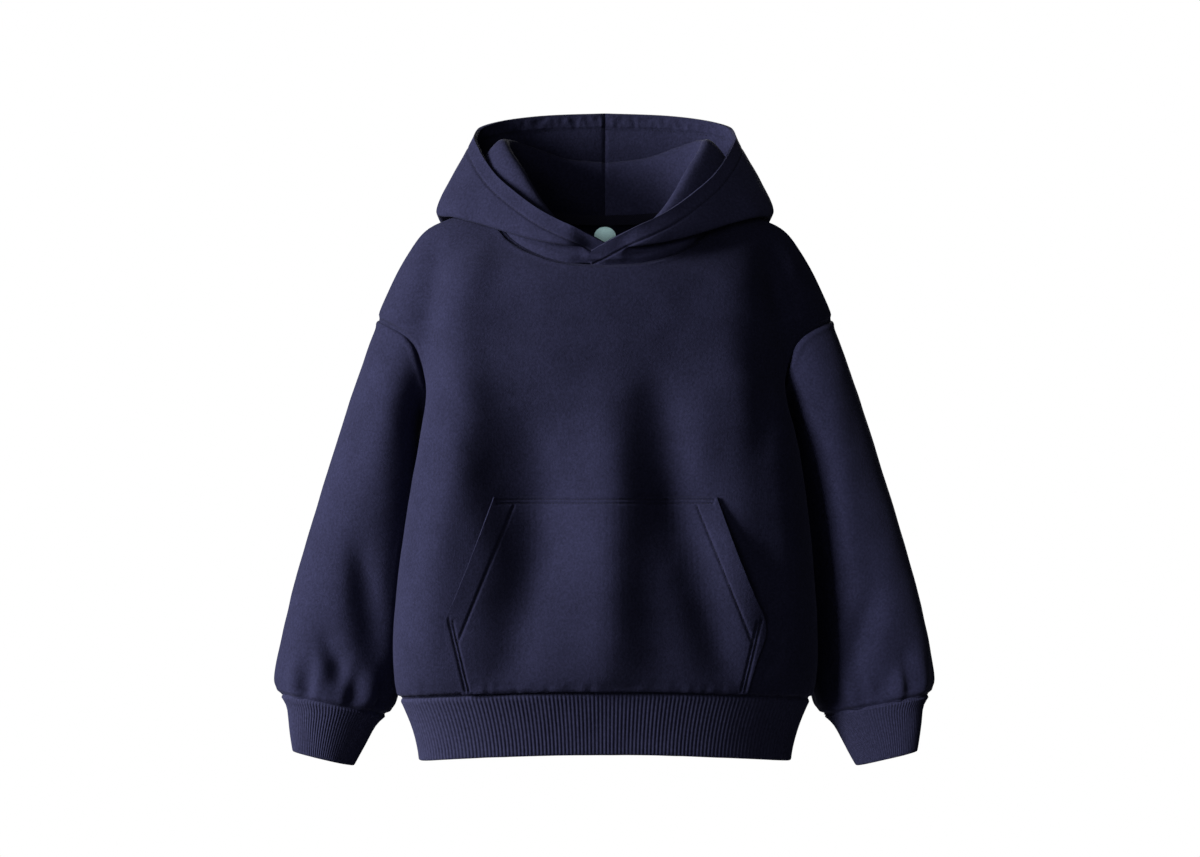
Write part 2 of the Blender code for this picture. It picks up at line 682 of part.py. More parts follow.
def hood_point(angle, row, side):
    """Point of a hood half in the given row, from the neck seam over crest and valley to the rim."""
    neck = neck_point(angle)
    crest, valley, rim = (hood_line(name, angle) for name in ("crest", "valley", "rim"))
    run = hood_line("valley", angle + 4) - hood_line("valley", angle - 4)
    out = Vector((run.y, -run.x, 0)).normalized()
    fold = HOOD.at(angle, "fold")
    up = Vector((0, 0, 0.8 * (crest - neck).length)) + (crest - neck) * 0.3
    over = (valley - neck) / 2
    under = (rim - crest) / 2
    if row <= CREST_ROWS:
        leave = (crest - neck).lerp(up, fold)
        arrive = over.lerp(out * turning(crest, neck, CREST_RADIUS), fold)
        co = curve_through(neck, leave, crest, arrive, row / CREST_ROWS)
    elif row <= CREST_ROWS + VALLEY_ROWS:
        leave = over.lerp(out * turning(crest, valley, CREST_RADIUS), fold)
        arrive = under.lerp(out * turning(crest, valley, VALLEY_RADIUS), fold)
        co = curve_through(crest, leave, valley, arrive, (row - CREST_ROWS) / VALLEY_ROWS)
    else:
        t = (row - CREST_ROWS - VALLEY_ROWS) / RIM_ROWS
        leave = under.lerp(out * turning(valley, rim, VALLEY_RADIUS), fold)
        co = curve_through(valley, leave, rim, (rim - valley) * 0.9, t)
    return Vector((co.x * side, co.y, co.z))


def add_hood_half(collection, name, side):
    """Half of the hood. side is -1 for the left one, whose front edge lies under the right one's."""
    rows = CREST_ROWS + VALLEY_ROWS + RIM_ROWS

    end = FLAP_END if side > 0 else FLAP_END + FLAP_SHORT

    def place(u, v):
        co = hood_point(mix(end, 180.0, (u if side > 0 else 1 - u) ** 1.3), round(v * rows), side)
        if side < 0 and co.y < 0:
            co.y += FLAP_UNDER * ramp(-30, -11, co.x)
        return co

    bm = new_grid(HOOD_COLUMNS, rows, place)
    bm.verts.index_update()
    draw_in(bm, SEAM, free=range(len(bm.verts) - HOOD_COLUMNS - (side > 0), len(bm.verts) - (side > 0)))
    bm.normal_update()
    close_shell(bm, WALL)
    new_object(name, bm, collection, NAVY, 0.9)


def neck_inward(angle):
    """Level direction from the back neck seam towards the neck's middle."""
    run = neck_point(angle + 1) - neck_point(angle - 1)
    return Vector((-run.y, run.x, 0)).normalized()


def add_neck_tape(collection):
    """Narrow tape over the back neck seam, inside the neck."""
    def place(u, v):
        angle = mix(180 - TAPE_SPREAD, 180 + TAPE_SPREAD, u)
        mirrored = angle if angle <= 180 else TUBE_TURN - angle
        co = neck_point(mirrored) + neck_inward(min(mirrored, 179.0)) * (WALL + TAPE_LAY)
        co.x = math.copysign(co.x, 180 - angle)
        co.z += TAPE_HEIGHT * (v - 0.5)
        return co

    bm = new_grid(TAPE_COLUMNS, 1, place)
    close_shell(bm, TAPE_WALL)
    new_object("neck_tape", bm, collection, NAVY_DARK, 0.85)


def add_neck_label(collection):
    """Small blank oval label on the inner face of the back panel."""
    sheet = panel_sheet("back")
    tree = BVHTree.FromBMesh(sheet)
    sheet.free()
    bm = bmesh.new()
    bmesh.ops.create_circle(bm, cap_ends=True, cap_tris=True, segments=20, radius=0.5)
    for vert in bm.verts:
        co, out = on_panel(tree, -vert.co.x * LABEL_WIDTH, LABEL_CENTRE + vert.co.y * LABEL_HEIGHT, -1.0)
        vert.co = co - out * (WALL + LABEL_LAY)
    bm.normal_update()
    close_shell(bm, LABEL_WALL)
    new_object("neck_label", bm, collection, AQUA, 0.6)


def clear_scene():
    """Start from an empty scene."""
    for old in list(bpy.data.objects):
        bpy.data.objects.remove(old)


def main():
    clear_scene()
    collection = bpy.data.collections.new("toddler_hoodie")
    bpy.context.scene.collection.children.link(collection)
    add_panels(collection)
    for side, word in ((-1, "left"), (1, "right")):
        add_sleeve(collection, "sleeve_" + word, side)
        add_cuff(collection, "cuff_" + word, side)
        add_hood_half(collection, "hood_" + word, side)
    add_hem_band(collection)
    add_pocket(collection)
    add_neck_tape(collection)
    add_neck_label(collection)


main()
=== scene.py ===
"""A toddler's pullover hoodie in navy cotton fleece, filled out and hollow, dressed for the camera.

It is laid out as a Blender add-on and run as a script. Left and right are the viewer's, facing the front.
X runs to the right, Y from front to back and Z up. Tables and working sizes are in millimetres, and a
piece becomes metres when its mesh is made.
"""
import math
from bisect import bisect_right
from functools import lru_cache

import bmesh
import bpy
from bpy.props import FloatProperty, FloatVectorProperty, PointerProperty
from mathutils import Matrix, Vector, noise
from mathutils.bvhtree import BVHTree
from mathutils.kdtree import KDTree


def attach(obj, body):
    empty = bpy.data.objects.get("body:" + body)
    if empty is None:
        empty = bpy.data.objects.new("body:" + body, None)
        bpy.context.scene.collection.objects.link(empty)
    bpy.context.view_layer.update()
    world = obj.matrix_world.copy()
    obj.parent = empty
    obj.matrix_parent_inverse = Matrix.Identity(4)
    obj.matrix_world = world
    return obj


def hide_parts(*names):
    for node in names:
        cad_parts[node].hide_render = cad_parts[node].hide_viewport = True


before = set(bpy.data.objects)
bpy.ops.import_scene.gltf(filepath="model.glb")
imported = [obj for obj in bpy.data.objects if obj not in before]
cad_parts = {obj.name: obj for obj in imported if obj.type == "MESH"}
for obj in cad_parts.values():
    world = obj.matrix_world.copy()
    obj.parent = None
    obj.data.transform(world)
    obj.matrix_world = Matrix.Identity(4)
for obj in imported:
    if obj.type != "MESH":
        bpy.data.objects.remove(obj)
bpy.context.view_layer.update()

bl_info = {
    "name": "Toddler hoodie",
    "version": (1, 0, 0),
    "blender": (4, 5, 0),
    "location": "3D View > Sidebar > Hoodie",
    "description": "Makes a navy fleece pullover hoodie for a toddler, with its studio stage",
    "category": "Add Mesh",
}

MM = 0.001
BODY_NAME = "root"
TUBE_TURN = 360.0
SIDES = ((-1, "left"), (1, "right"))

# Body heights
HEM_SEAM = -378.0
UNDERARM = -161.0
SHOULDER_TIP = -82.0
NECK_POINT = 9.4

# Hem band
HEM_DEPTH = 48.0
HEM_TAPER = 15.0           # half the width lost from top to bottom
HEM_BOW = 5.5              # how far its lines rise at centre front
HEM_BOW_BACK = 0.3         # share of that at centre back
HEM_CURVE = 1.6            # how early it narrows on the way down
HEM_FLATTEN = 0.9          # how much of the narrowing is also taken off its depth
HEM_HALF = 157.0           # from centre to side seam, seen from the front

# How finely each piece is divided, and how much its rows crowd towards the underarm, the shoulder tip and
# the neck
SIDE_STEPS = 76
SIDE_CROWD = 1.25
ARMHOLE_STEPS = 52
ARMHOLE_CROWD = 1.5
SHOULDER_STEPS = 34
SHOULDER_CROWD = 1.5
COLUMN_SPREAD = 0.12
FRONT_COLUMNS = 176
BACK_COLUMNS = 132
SLEEVE_ROWS = 132
HOOD_COLUMNS = 170
HOOD_ROWS = 150
RIB_POINTS = 6             # points across one rib
RING_SAMPLES = 1440        # places at which a band's girth is measured
GIRTH_AT = 0.4             # how far down the band
RIB_ROUND = 0.75           # below 1, a rib is broader and its groove narrower
RIB_UNEVEN = 0.25
POCKET_COLUMNS = 200
POCKET_ROWS = 140

# Rows of stitches on the pocket's right half, as lines seen from the front
POCKET_ROWS_SEWN = (
    (0.0, -222.9, 84.0, -223.1),
    (0.0, -225.7, 83.0, -225.9),
    (70.5, -227.5, 114.0, -334.0),
    (120.8, -315.5, 108.0, -371.0),
    (117.8, -317.5, 105.2, -371.0),
)

# Sleeve
SLEEVE_HEAD = 0.22         # share of its length over which it takes up the armhole's shape
SLEEVE_FULL = 0.5          # below 1, its front is fuller beside the body
GATHER_FROM = 0.82
GATHER_FULL = 0.95
GATHER_EASE = 0.7          # how much of the gathers is eased out at the cuff seam

# Pocket
POCKET_TOP = -221.0
POCKET_CORNER = -324.0
POCKET_FOOT = -375.2
POCKET_PUFF = 7.5          # how far it stands off the panel at the hand openings
POCKET_LAY = 0.25
MIDDLE_PUFF = 0.6          # share of that at its middle
POCKET_CROWD = 0.5

# Hood
CREST_ROWS = 5
VALLEY_ROWS = 6
RIM_ROWS = 7
CREST_RADIUS = 3.0
VALLEY_RADIUS = 4.6
CREST_LIFT = 0.8           # how steeply the cloth leaves the neck seam
RIM_LEAD = 0.9             # how straight it runs into the rim
FLAP_UNDER = 3.1           # how far the left edge lies behind the right one
FLAP_END = -7.0            # angle at which the right half ends, past the middle
FLAP_SHORT = 5.0           # how much sooner the left half ends
HOOD_CROWD = 0.45          # how its columns crowd at the edges and at the front, and its rows at the rim
HOOD_FRONT_CROWD = 1.15
HOOD_RIM_CROWD = 1.35
FACING = 12.5              # depth of the turned hem along the rim
FACING_STEP = 0.9          # how much thicker it is than the cloth beside it

# Neck tape and label
TAPE_HEIGHT = 8.0
TAPE_SPREAD = 62.0
TAPE_LAY = 1.4
TAPE_THICK = 0.9
TAPE_COLUMNS = 120
TAPE_ROWS = 10
LABEL_WIDTH = 17.0
LABEL_HEIGHT = 12.5
LABEL_CENTRE = -14.5
LABEL_LAY = 0.5
LABEL_THICK = 0.6
LABEL_SIDES = 64

# Closing a sheet into a wall
RIM_ANGLE = math.radians(62)
CENTRE_NEAR = 0.6          # how near the middle plane an edge is sewn to its mirror image
RIM_ROUND = 0.42           # how far a cut edge is rounded off
SHADE_ANGLE = math.radians(48)

FOLD_END = 0.06            # how far inside the half wave of its depth a fold starts and ends
FOLD_FADE = 0.7            # below 1, a fold keeps its depth nearer to its ends
FOLD_REACH = 3             # how many of its widths to the side a fold is felt
PANEL_FADE = 22.0          # height above the hem seam over which a panel's folds begin
SOFTEN = 14                # times that a panel is eased
SIDE_FADE = 0.07           # share of a panel's half width over which they begin at its sides
REACH = 300.0              # from outside the hoodie to its middle plane

# Beside a seam: the cloth is drawn in, rolls up, and farther off swells and sinks in patches
GUIDE_LINE = 60            # steps into which the guide divides a side or shoulder seam
GUIDE_RING = 120           # and a cuff seam
GUIDE_STEP = 0.6           # from point to point along the guide
OWN_WAY = 4.0              # from here on the cloth moves along its own facing, not the seam's
DIP_WIDTH = 1.7
ROLL = 0.6
ROLL_PLACE = 4.2
ROLL_WIDTH = 2.2
SWELL = 0.45
SWELL_PATCH = 34.0
FINE_PATCH = 0.45          # size of the finer patches, as a share
SWELL_FROM = 16.0
BAND_SWELL = 0.3
HOOD_SWELL = 0.5

# Puckers above the hem seam and across the hood's turned hem
PUCKER = 0.8
PUCKER_REACH = 17.0
HEM_PUCKER = 0.9

# Rows of stitching: how far inside an edge they run, and the groove that they draw in
THREAD_FLAT = 0.45         # half a stitch's height, in thread widths
HEM_ROW = 2.8
NECK_ROW = 3.4
GROOVE_DEPTH = 1.0
GROOVE_WIDTH = 1.0

# The hood's centre seam: how deep it lies outside and inside, and how wide
CENTRE_DIP = 0.6
CENTRE_DIP_INSIDE = 1.3
CENTRE_DIP_WIDTH = 1.5
EDGE_REACH = 6.0           # how far from an edge its groove is still felt

# Stage, in metres
VIEW_WIDTH = 0.936         # width that the picture takes in at the hoodie's middle
VIEW_MIDDLE = (-0.0039, 0.0, -0.1681)
PAPER = (0.86, 0.86, 0.86)
FLOOR_HALF = (4.0, 3.2, 1.0)
FLOOR_MIDDLE = (0.0, -1.9, -0.62)
LAMP_DISTANCE = 3.2
SENSOR = 36.0              # millimetres


class Table:
    """Rows of named columns, read anywhere between the rows along smooth curves."""

    def __init__(self, names, *rows):
        self.names = names.split()
        columns = list(zip(*rows))
        self.keys = columns[0]
        self.columns = {}
        for name, values in zip(self.names, columns):
            slopes = [self.slope(self.keys, values, i) for i in range(len(values))]
            self.columns[name] = (values, slopes)

    def at(self, key, name):
        """Value of one column where the first column has the value key."""
        keys = self.keys
        values, slopes = self.columns[name]
        key = min(max(key, keys[0]), keys[-1])
        low = min(bisect_right(keys, key) - 1, len(keys) - 2)
        span = keys[low + 1] - keys[low]
        t = (key - keys[low]) / span
        s = 1 - t
        return (values[low] * (1 + 2 * t) * s * s + values[low + 1] * t * t * (3 - 2 * t)
                + slopes[low] * span * t * s * s - slopes[low + 1] * span * t * t * s)

    @staticmethod
    def slope(keys, values, i):
        """Slope of the smooth curve at a row, flat where the values turn."""
        steps = [(values[j + 1] - values[j]) / (keys[j + 1] - keys[j])
                 for j in (i - 1, i) if 0 <= j < len(keys) - 1]
        if len(steps) == 1:
            return steps[0]
        if steps[0] * steps[1] <= 0:
            return 0.0
        return 2 * steps[0] * steps[1] / (steps[0] + steps[1])


# Level sections of the body. half_width is the widest point, which lies at widest_y. front and back are
# how far it reaches from the origin's plane, and a higher squareness makes a flatter front or back.
BODY = Table(
    "height half_width widest_y front back front_square back_square",
    (-378.0, 159.5, -15, 82.0, 76.0, 3.0, 2.2),
    (-368.0, 163.5, -15, 86.0, 80.0, 3.3, 2.3),
    (-340.0, 164.8, -16, 88.5, 82.5, 3.6, 2.3),
    (-305.0, 163.0, -18, 89.0, 83.5, 3.6, 2.3),
    (-270.0, 159.0, -21, 88.0, 83.0, 3.6, 2.3),
    (-237.0, 154.5, -24, 86.0, 82.0, 3.6, 2.2),
    (-203.0, 148.5, -30, 84.0, 81.0, 3.6, 2.1),
    (-166.0, 141.5, -36, 81.5, 80.0, 3.5, 2.0),
    (-140.0, 137.5, -36, 80.0, 79.5, 3.3, 2.0),
    (-126.0, 140.0, -20, 79.4, 79.4, 3.0, 2.0),
    (-114.0, 147.0, -8, 78.6, 79.2, 2.7, 2.0),
    (-103.0, 157.0, -1, 78.0, 79.0, 2.45, 2.0),
    (-97.0, 163.5, 0, 77.5, 79.0, 2.35, 1.95),
    (-91.0, 170.0, 0, 77.0, 79.0, 2.25, 1.9),
    (-85.0, 175.5, 0, 76.2, 78.7, 2.2, 1.87),
    (-82.0, 177.0, 0, 75.9, 78.5, 2.2, 1.86),
    (-66.0, 170.5, 0, 73.5, 77.0, 2.15, 1.9),
    (-48.0, 162.5, 0, 67.5, 74.0, 2.05, 1.96),
    (-40.6, 158.5, 0, 62.0, 71.5, 2.0, 2.0),
    (-29.0, 151.5, 0, 48.5, 68.0, 2.0, 2.0),
    (-16.0, 142.5, 0, 34.5, 61.0, 2.0, 2.0),
    (-9.0, 134.5, 0, 28.0, 54.5, 2.0, 2.0),
    (-6.0, 125.0, 0, 25.0, 50.5, 2.0, 2.0),
    (-2.0, 112.0, 0, 21.5, 45.0, 2.0, 2.0),
    (3.0, 100.0, 0, 16.0, 33.0, 2.0, 2.0),
    (9.4, 88.0, 0, 8.0, 10.0, 2.0, 2.0),
)

# How far the armhole seam lies in front of the side and behind it, from underarm to shoulder tip.
ARMHOLE = Table(
    "height front_y back_y",
    (-161.0, 0, 0),
    (-152.0, -11, 16),
    (-140.0, -20, 30),
    (-126.0, -28, 40),
    (-114.0, -33, 45),
    (-103.0, -35, 44),
    (-97.0, -34, 41),
    (-91.0, -29, 33),
    (-85.0, -16, 18),
    (-82.0, 0, 0),
)

# The neck seam, by the angle round it from centre front.
NECK = Table(
    "angle x height",
    (0, 0.0, -40.6),
    (17, 26.0, -39.0),
    (28, 41.0, -36.0),
    (41, 57.5, -30.0),
    (58, 75.0, -18.5),
    (70, 82.5, -8.0),
    (82, 87.0, 5.0),
    (90, 88.0, 9.4),
    (100, 86.8, 8.6),
    (120, 76.0, 5.0),
    (140, 57.0, 0.0),
    (160, 30.0, -4.0),
    (180, 0.0, -5.0),
)

# Sections of a sleeve, from armhole to cuff: its outer and inner lines as seen from the front, where its
# middle lies from front to back, and half its depth.
SLEEVE = Table(
    "along outer_x outer_z inner_x inner_z middle_y half_depth",
    (0.00, 177.0, -82.0, 134.0, -161.0, 4, 42),
    (0.03, 179.3, -90.0, 138.0, -162.0, 5, 42),
    (0.06, 183.3, -100.0, 141.5, -164.0, 8, 43),
    (0.13, 190.7, -121.0, 143.5, -174.5, 16, 45),
    (0.23, 201.5, -152.0, 143.0, -199.0, 27, 46),
    (0.36, 214.5, -192.0, 144.5, -231.5, 34, 46),
    (0.49, 227.0, -232.0, 148.0, -265.0, 38, 46),
    (0.62, 238.5, -271.0, 152.5, -298.0, 40, 45),
    (0.76, 249.0, -311.0, 156.5, -334.0, 39, 43),
    (0.87, 255.5, -344.0, 159.0, -364.0, 37, 41),
    (0.95, 257.3, -365.0, 163.5, -383.0, 34, 38),
    (1.00, 254.0, -376.0, 171.0, -392.0, 32, 34),
)

# Sections of a cuff, in the same way, from its seam down.
CUFF = Table(
    "along outer_x outer_z inner_x inner_z middle_y half_depth",
    (0.00, 254.0, -376.0, 171.0, -392.0, 32, 34.0),
    (0.25, 248.5, -387.0, 179.0, -399.5, 31, 30.5),
    (0.60, 247.0, -402.0, 187.0, -413.5, 30, 26.5),
    (1.00, 244.0, -421.0, 197.0, -432.0, 28, 23.0),
)

# The right half of the hood, by the angle round the neck. From the neck seam the cloth rises to a crest,
# folds out and down to a valley that rests on the shoulders and back, and rises again to the rim. fold is
# 1 where it turns fully at crest and valley, and 0 where it rises straight.
HOOD = Table(
    "angle crest_x crest_y crest_z valley_x valley_y valley_z rim_x rim_y rim_z fold",
    (-7, -10.8, -62.8, -37.2, -10.9, -63.7, -34.2, -11.0, -64.7, -31.0, 0.0),
    (2, 3.5, -63.9, -34.6, 3.8, -65.7, -28.6, 4.0, -67.5, -22.5, 0.0),
    (8, 12.0, -63.8, -33.4, 12.5, -66.0, -26.0, 13.0, -68.4, -18.0, 0.0),
    (15, 21.5, -60.0, -24.5, 23.0, -66.5, -27.0, 24.0, -67.0, -12.0, 0.5),
    (22, 31.0, -52.0, -15.0, 36.0, -64.0, -25.5, 36.0, -62.0, -6.5, 1.0),
    (35, 45.0, -42.0, 0.0, 54.0, -55.0, -22.0, 53.0, -53.0, 3.0, 1.0),
    (50, 56.0, -31.0, 16.0, 76.0, -42.0, -16.0, 71.0, -38.0, 16.5, 1.0),
    (65, 66.5, -17.0, 34.0, 98.0, -27.0, -9.0, 86.5, -18.0, 31.0, 1.0),
    (80, 75.5, -2.0, 48.0, 118.5, -10.0, -3.5, 97.0, 3.0, 47.0, 1.0),
    (95, 79.5, 13.0, 56.0, 128.5, 12.0, -2.0, 102.5, 26.0, 60.0, 1.0),
    (110, 75.0, 26.0, 56.0, 124.0, 38.0, -11.0, 100.0, 47.0, 67.0, 1.0),
    (130, 57.0, 37.0, 50.0, 103.0, 65.0, -24.0, 80.0, 63.0, 74.0, 1.0),
    (155, 27.0, 43.5, 41.0, 53.0, 85.0, -36.0, 42.0, 71.5, 78.5, 1.0),
    (180, 0.0, 45.0, 38.5, 0.0, 91.0, -40.0, 0.0, 73.5, 80.0, 1.0),
)

# Half the pocket's width, by height.
POCKET = Table(
    "height half_width",
    (-378.0, 109.0),
    (-350.0, 117.0),
    (-325.0, 124.0),
    (-319.0, 123.5),
    (-298.0, 115.0),
    (-270.0, 104.0),
    (-221.0, 86.5),
)

def named_rows(names, *rows):
    """Rows of values under named columns."""
    return tuple(dict(zip(names.split(), row)) for row in rows)


# Soft folds, each along a line seen from the front. A positive depth sinks into the cloth and a negative
# one stands out. A panel's folds are pressed the way its cloth faces, a sleeve's from front to back.
FOLD_COLUMNS = "x1 z1 x2 z2 width depth"
FRONT_FOLDS = named_rows(
    FOLD_COLUMNS,
    (-131, -30, -141, -98, 8, 8.0),
    (130, -26, 141, -100, 9, 11.0),
    (-112, -34, -112, -235, 19, -8.8),
    (-118, -190, -138, -350, 17, -6.1),
    (-60, -150, -52, -285, 25, 13.5),
    (-52, -235, -76, -372, 22, 11.0),
    (8, -150, 3, -368, 19, -12.8),
    (40, -132, 54, -255, 14, 8.0),
    (50, -215, 98, -368, 15, 11.0),
    (104, -45, 104, -250, 26, -7.5),
    (106, -215, 110, -355, 19, -5.5),
    (-96, -30, -106, -78, 9, -2.3),
    (-152, -56, -132, -108, 6, 2.1),
    (-128, -124, -102, -180, 8, 2.0),
    (130, -118, 116, -196, 9, 2.8),
    (-90, -180, -74, -268, 12, 3.9),
    (26, -262, 42, -360, 10, 2.3),
    (-22, -172, -20, -240, 9, 2.1),
    (76, -140, 70, -222, 12, -3.5),
    (136, -150, 143, -350, 17, -8.5),
)
BACK_FOLDS = named_rows(
    FOLD_COLUMNS,
    (-128, -40, -134, -112, 10, 4.0),
    (128, -40, 134, -112, 10, 4.5),
    (-60, -210, -82, -350, 17, 2.5),
    (48, -190, 70, -350, 17, 2.5),
    (0, -250, -8, -350, 20, -2.0),
)
LEFT_SLEEVE_FOLDS = named_rows(
    FOLD_COLUMNS,
    (194, -250, 178, -350, 11, 6.5),
    (172, -115, 172, -240, 15, -3.0),
    (205, -150, 214, -250, 13, 2.5),
    (222, -322, 202, -370, 8, 5.5),
    (205, -345, 222, -384, 6, 3.0),
    (238, -350, 232, -380, 5, 2.5),
)
RIGHT_SLEEVE_FOLDS = named_rows(
    FOLD_COLUMNS,
    (211, -290, 190, -360, 9, 6.0),
    (240, -335, 214, -378, 8, 5.0),
    (182, -130, 190, -310, 14, -5.0),
    (226, -310, 210, -345, 7, -2.5),
)

# Gathers above a cuff seam: waves round the sleeve, their depth and where each begins.
GATHERS = named_rows(
    "waves depth turn",
    (9, 2.6, 0.4),
    (14, 1.8, 2.1),
    (23, 1.1, 5.0),
)


def length_setting(name, description, default, low, high):
    """A length in metres that the user can change."""
    return FloatProperty(name=name, description=description, default=default, min=low, max=high,
                         subtype="DISTANCE", unit="LENGTH")


def power_setting(name, description, default):
    """A lamp's power in watts that the user can change."""
    return FloatProperty(name=name, description=description, default=default, min=0.0, max=1000.0,
                         unit="POWER")


def colour_setting(name, description, default):
    """A colour that the user can change."""
    return FloatVectorProperty(name=name, description=description, default=default, min=0, max=1, size=3,
                               subtype="COLOR")


class HoodieSizes(bpy.types.PropertyGroup):
    """Sizes of cloth and sewing that a user would change."""

    wall: length_setting("Fleece thickness", "Thickness of one layer of fleece", 0.002, 0.001, 0.003)
    hem_rib: length_setting("Hem rib pitch", "From rib to rib round the hem band", 0.003, 0.002, 0.006)
    cuff_rib: length_setting("Cuff rib pitch", "From rib to rib round a cuff", 0.0021, 0.0015, 0.005)
    rib_height: length_setting("Rib height", "How far a rib stands out of its band", 0.00055, 0.0, 0.002)
    seam_dip: length_setting("Seam dip", "How far the cloth is drawn in along a seam", 0.0019, 0.0, 0.003)
    stitch: length_setting("Stitch length", "Length of one stitch that shows", 0.0017, 0.001, 0.005)
    stitch_gap: length_setting("Stitch gap", "Cloth between one stitch and the next", 0.0007, 0.0003, 0.003)
    thread: length_setting("Thread width", "Width of the sewing thread", 0.0006, 0.0003, 0.0015)


class HoodieColours(bpy.types.PropertyGroup):
    """Colours of the hoodie's cloths and thread."""

    fleece: colour_setting("Fleece", "Body, sleeves, hood and pocket", (0.0175, 0.0180, 0.0430))
    rib: colour_setting("Rib knit", "Hem band and cuffs", (0.0245, 0.0252, 0.0580))
    # The thread's colour is painted darker than navy thread to stand in for the shade in the grooves where
    # the stitches sink. It is partly the thread's own colour and partly painted shade.
    thread: colour_setting("Thread", "Sewing thread", (0.0055, 0.006, 0.015))
    tape: colour_setting("Neck tape", "Tape over the back neck seam", (0.012, 0.012, 0.030))
    # The label's colour is painted lighter and whiter than its own aqua satin. This painted light stands in
    # for the light it lacks in the shade inside the neck.
    label: colour_setting("Label", "Blank label inside the back neck", (0.62, 0.97, 1.0))


class HoodieStudio(bpy.types.PropertyGroup):
    """The camera and the light."""

    distance: length_setting("Camera distance", "From the hoodie's middle to the camera", 8.0, 2.0, 20.0)
    key: power_setting("Key light", "Power of the soft light from the left", 235.0)
    front: power_setting("Front light", "Power of the weak light beside the camera", 9.0)
    sleeve: power_setting("Sleeve light", "Power of the light on the sleeve in the body's shade", 130.0)
    back: power_setting("Back light", "Power of the soft light behind", 70.0)
    hood: power_setting("Hood light", "Power of the light on the hood's half in the shade", 17.0)
    label: power_setting("Label light", "Power of the light on the label inside the neck", 40.0)
    surround: FloatProperty(name="Surround", description="Strength of the light from the white surroundings",
                            default=0.06, min=0.0, max=2.0)


def size(name):
    """One of the user's sizes, in millimetres."""
    return getattr(bpy.context.scene.hoodie_sizes, name) / MM


def colour_of(name):
    """One of the user's colours."""
    return tuple(getattr(bpy.context.scene.hoodie_colours, name))


def mix(a, b, t):
    """Value that lies the fraction t of the way from a to b."""
    return a + (b - a) * t


def ramp(low, high, value):
    """Smooth rise from 0 to 1 between two values."""
    t = min(max((value - low) / (high - low), 0.0), 1.0)
    return t * t * (3 - 2 * t)


def bell(away, width):
    """Smooth fall from 1 to 0 with the distance from a place."""
    return math.exp(-(away / width) ** 2)


def crowd(t, much=0.6):
    """Share of the way across a sheet whose columns crowd towards both edges."""
    return t - much * math.sin(2 * math.pi * t) / (2 * math.pi)


def oval(share, square):
    """Height of a rounded outline at a share of its half width."""
    return max(1 - min(abs(share), 1.0) ** square, 0.0) ** (1 / square)


def body_section(height, angle):
    """Point of the body's level section. The angle runs from 0 at centre front to 180 at centre back."""
    side = math.sin(math.radians(angle))
    widest_y = BODY.at(height, "widest_y")
    x = BODY.at(height, "half_width") * side
    if abs(angle) <= 90:
        deep = BODY.at(height, "front") + widest_y
        return x, widest_y - deep * oval(side, BODY.at(height, "front_square"))
    deep = BODY.at(height, "back") - widest_y
    return x, widest_y + deep * oval(side, BODY.at(height, "back_square"))


def section_angle(height, y):
    """Angle at which the right side of a level section passes a given y."""
    widest_y = BODY.at(height, "widest_y")
    if y <= widest_y:
        share = (widest_y - y) / (BODY.at(height, "front") + widest_y)
        return math.degrees(math.asin(oval(share, BODY.at(height, "front_square"))))
    share = (y - widest_y) / (BODY.at(height, "back") - widest_y)
    return 180 - math.degrees(math.asin(oval(share, BODY.at(height, "back_square"))))


@lru_cache(maxsize=None)
def panel_edge(height, face):
    """Angle of the right edge of the front or back panel: side seam, armhole and shoulder seam."""
    return section_angle(height, ARMHOLE.at(height, face + "_y"))


@lru_cache(maxsize=None)
def panel_heights():
    """Heights of a panel's rows along its edge, from hem seam to neck."""
    side = [mix(HEM_SEAM, UNDERARM, (i / SIDE_STEPS) ** SIDE_CROWD) for i in range(SIDE_STEPS)]
    armhole = [mix(UNDERARM, SHOULDER_TIP, 1 - (1 - i / ARMHOLE_STEPS) ** ARMHOLE_CROWD)
               for i in range(ARMHOLE_STEPS)]
    shoulder = [mix(SHOULDER_TIP, NECK_POINT, 1 - (1 - i / SHOULDER_STEPS) ** SHOULDER_CROWD)
                for i in range(SHOULDER_STEPS + 1)]
    return side + armhole + shoulder


@lru_cache(maxsize=None)
def neck_seam(angle):
    """Place of the neck seam on the body's surface."""
    x = NECK.at(abs(angle), "x")
    height = NECK.at(abs(angle), "height")
    share = x / BODY.at(height, "half_width")
    if abs(angle) <= 90:
        y = -BODY.at(height, "front") * oval(share, 2.0)
    else:
        y = BODY.at(height, "back") * oval(share, 2.0)
    return math.copysign(x, angle), y, height


def neck_point(angle):
    """Point of the neck seam, by the angle round it from centre front."""
    return Vector(neck_seam(angle))


def middle_height(edge_height):
    """Height at a panel's middle of the row that meets its edge at a given height."""
    if not UNDERARM < edge_height < SHOULDER_TIP:
        return edge_height
    share = (edge_height - UNDERARM) / (SHOULDER_TIP - UNDERARM)
    return mix(UNDERARM, SHOULDER_TIP, 1 - (1 - share) ** (1 / ARMHOLE_CROWD))


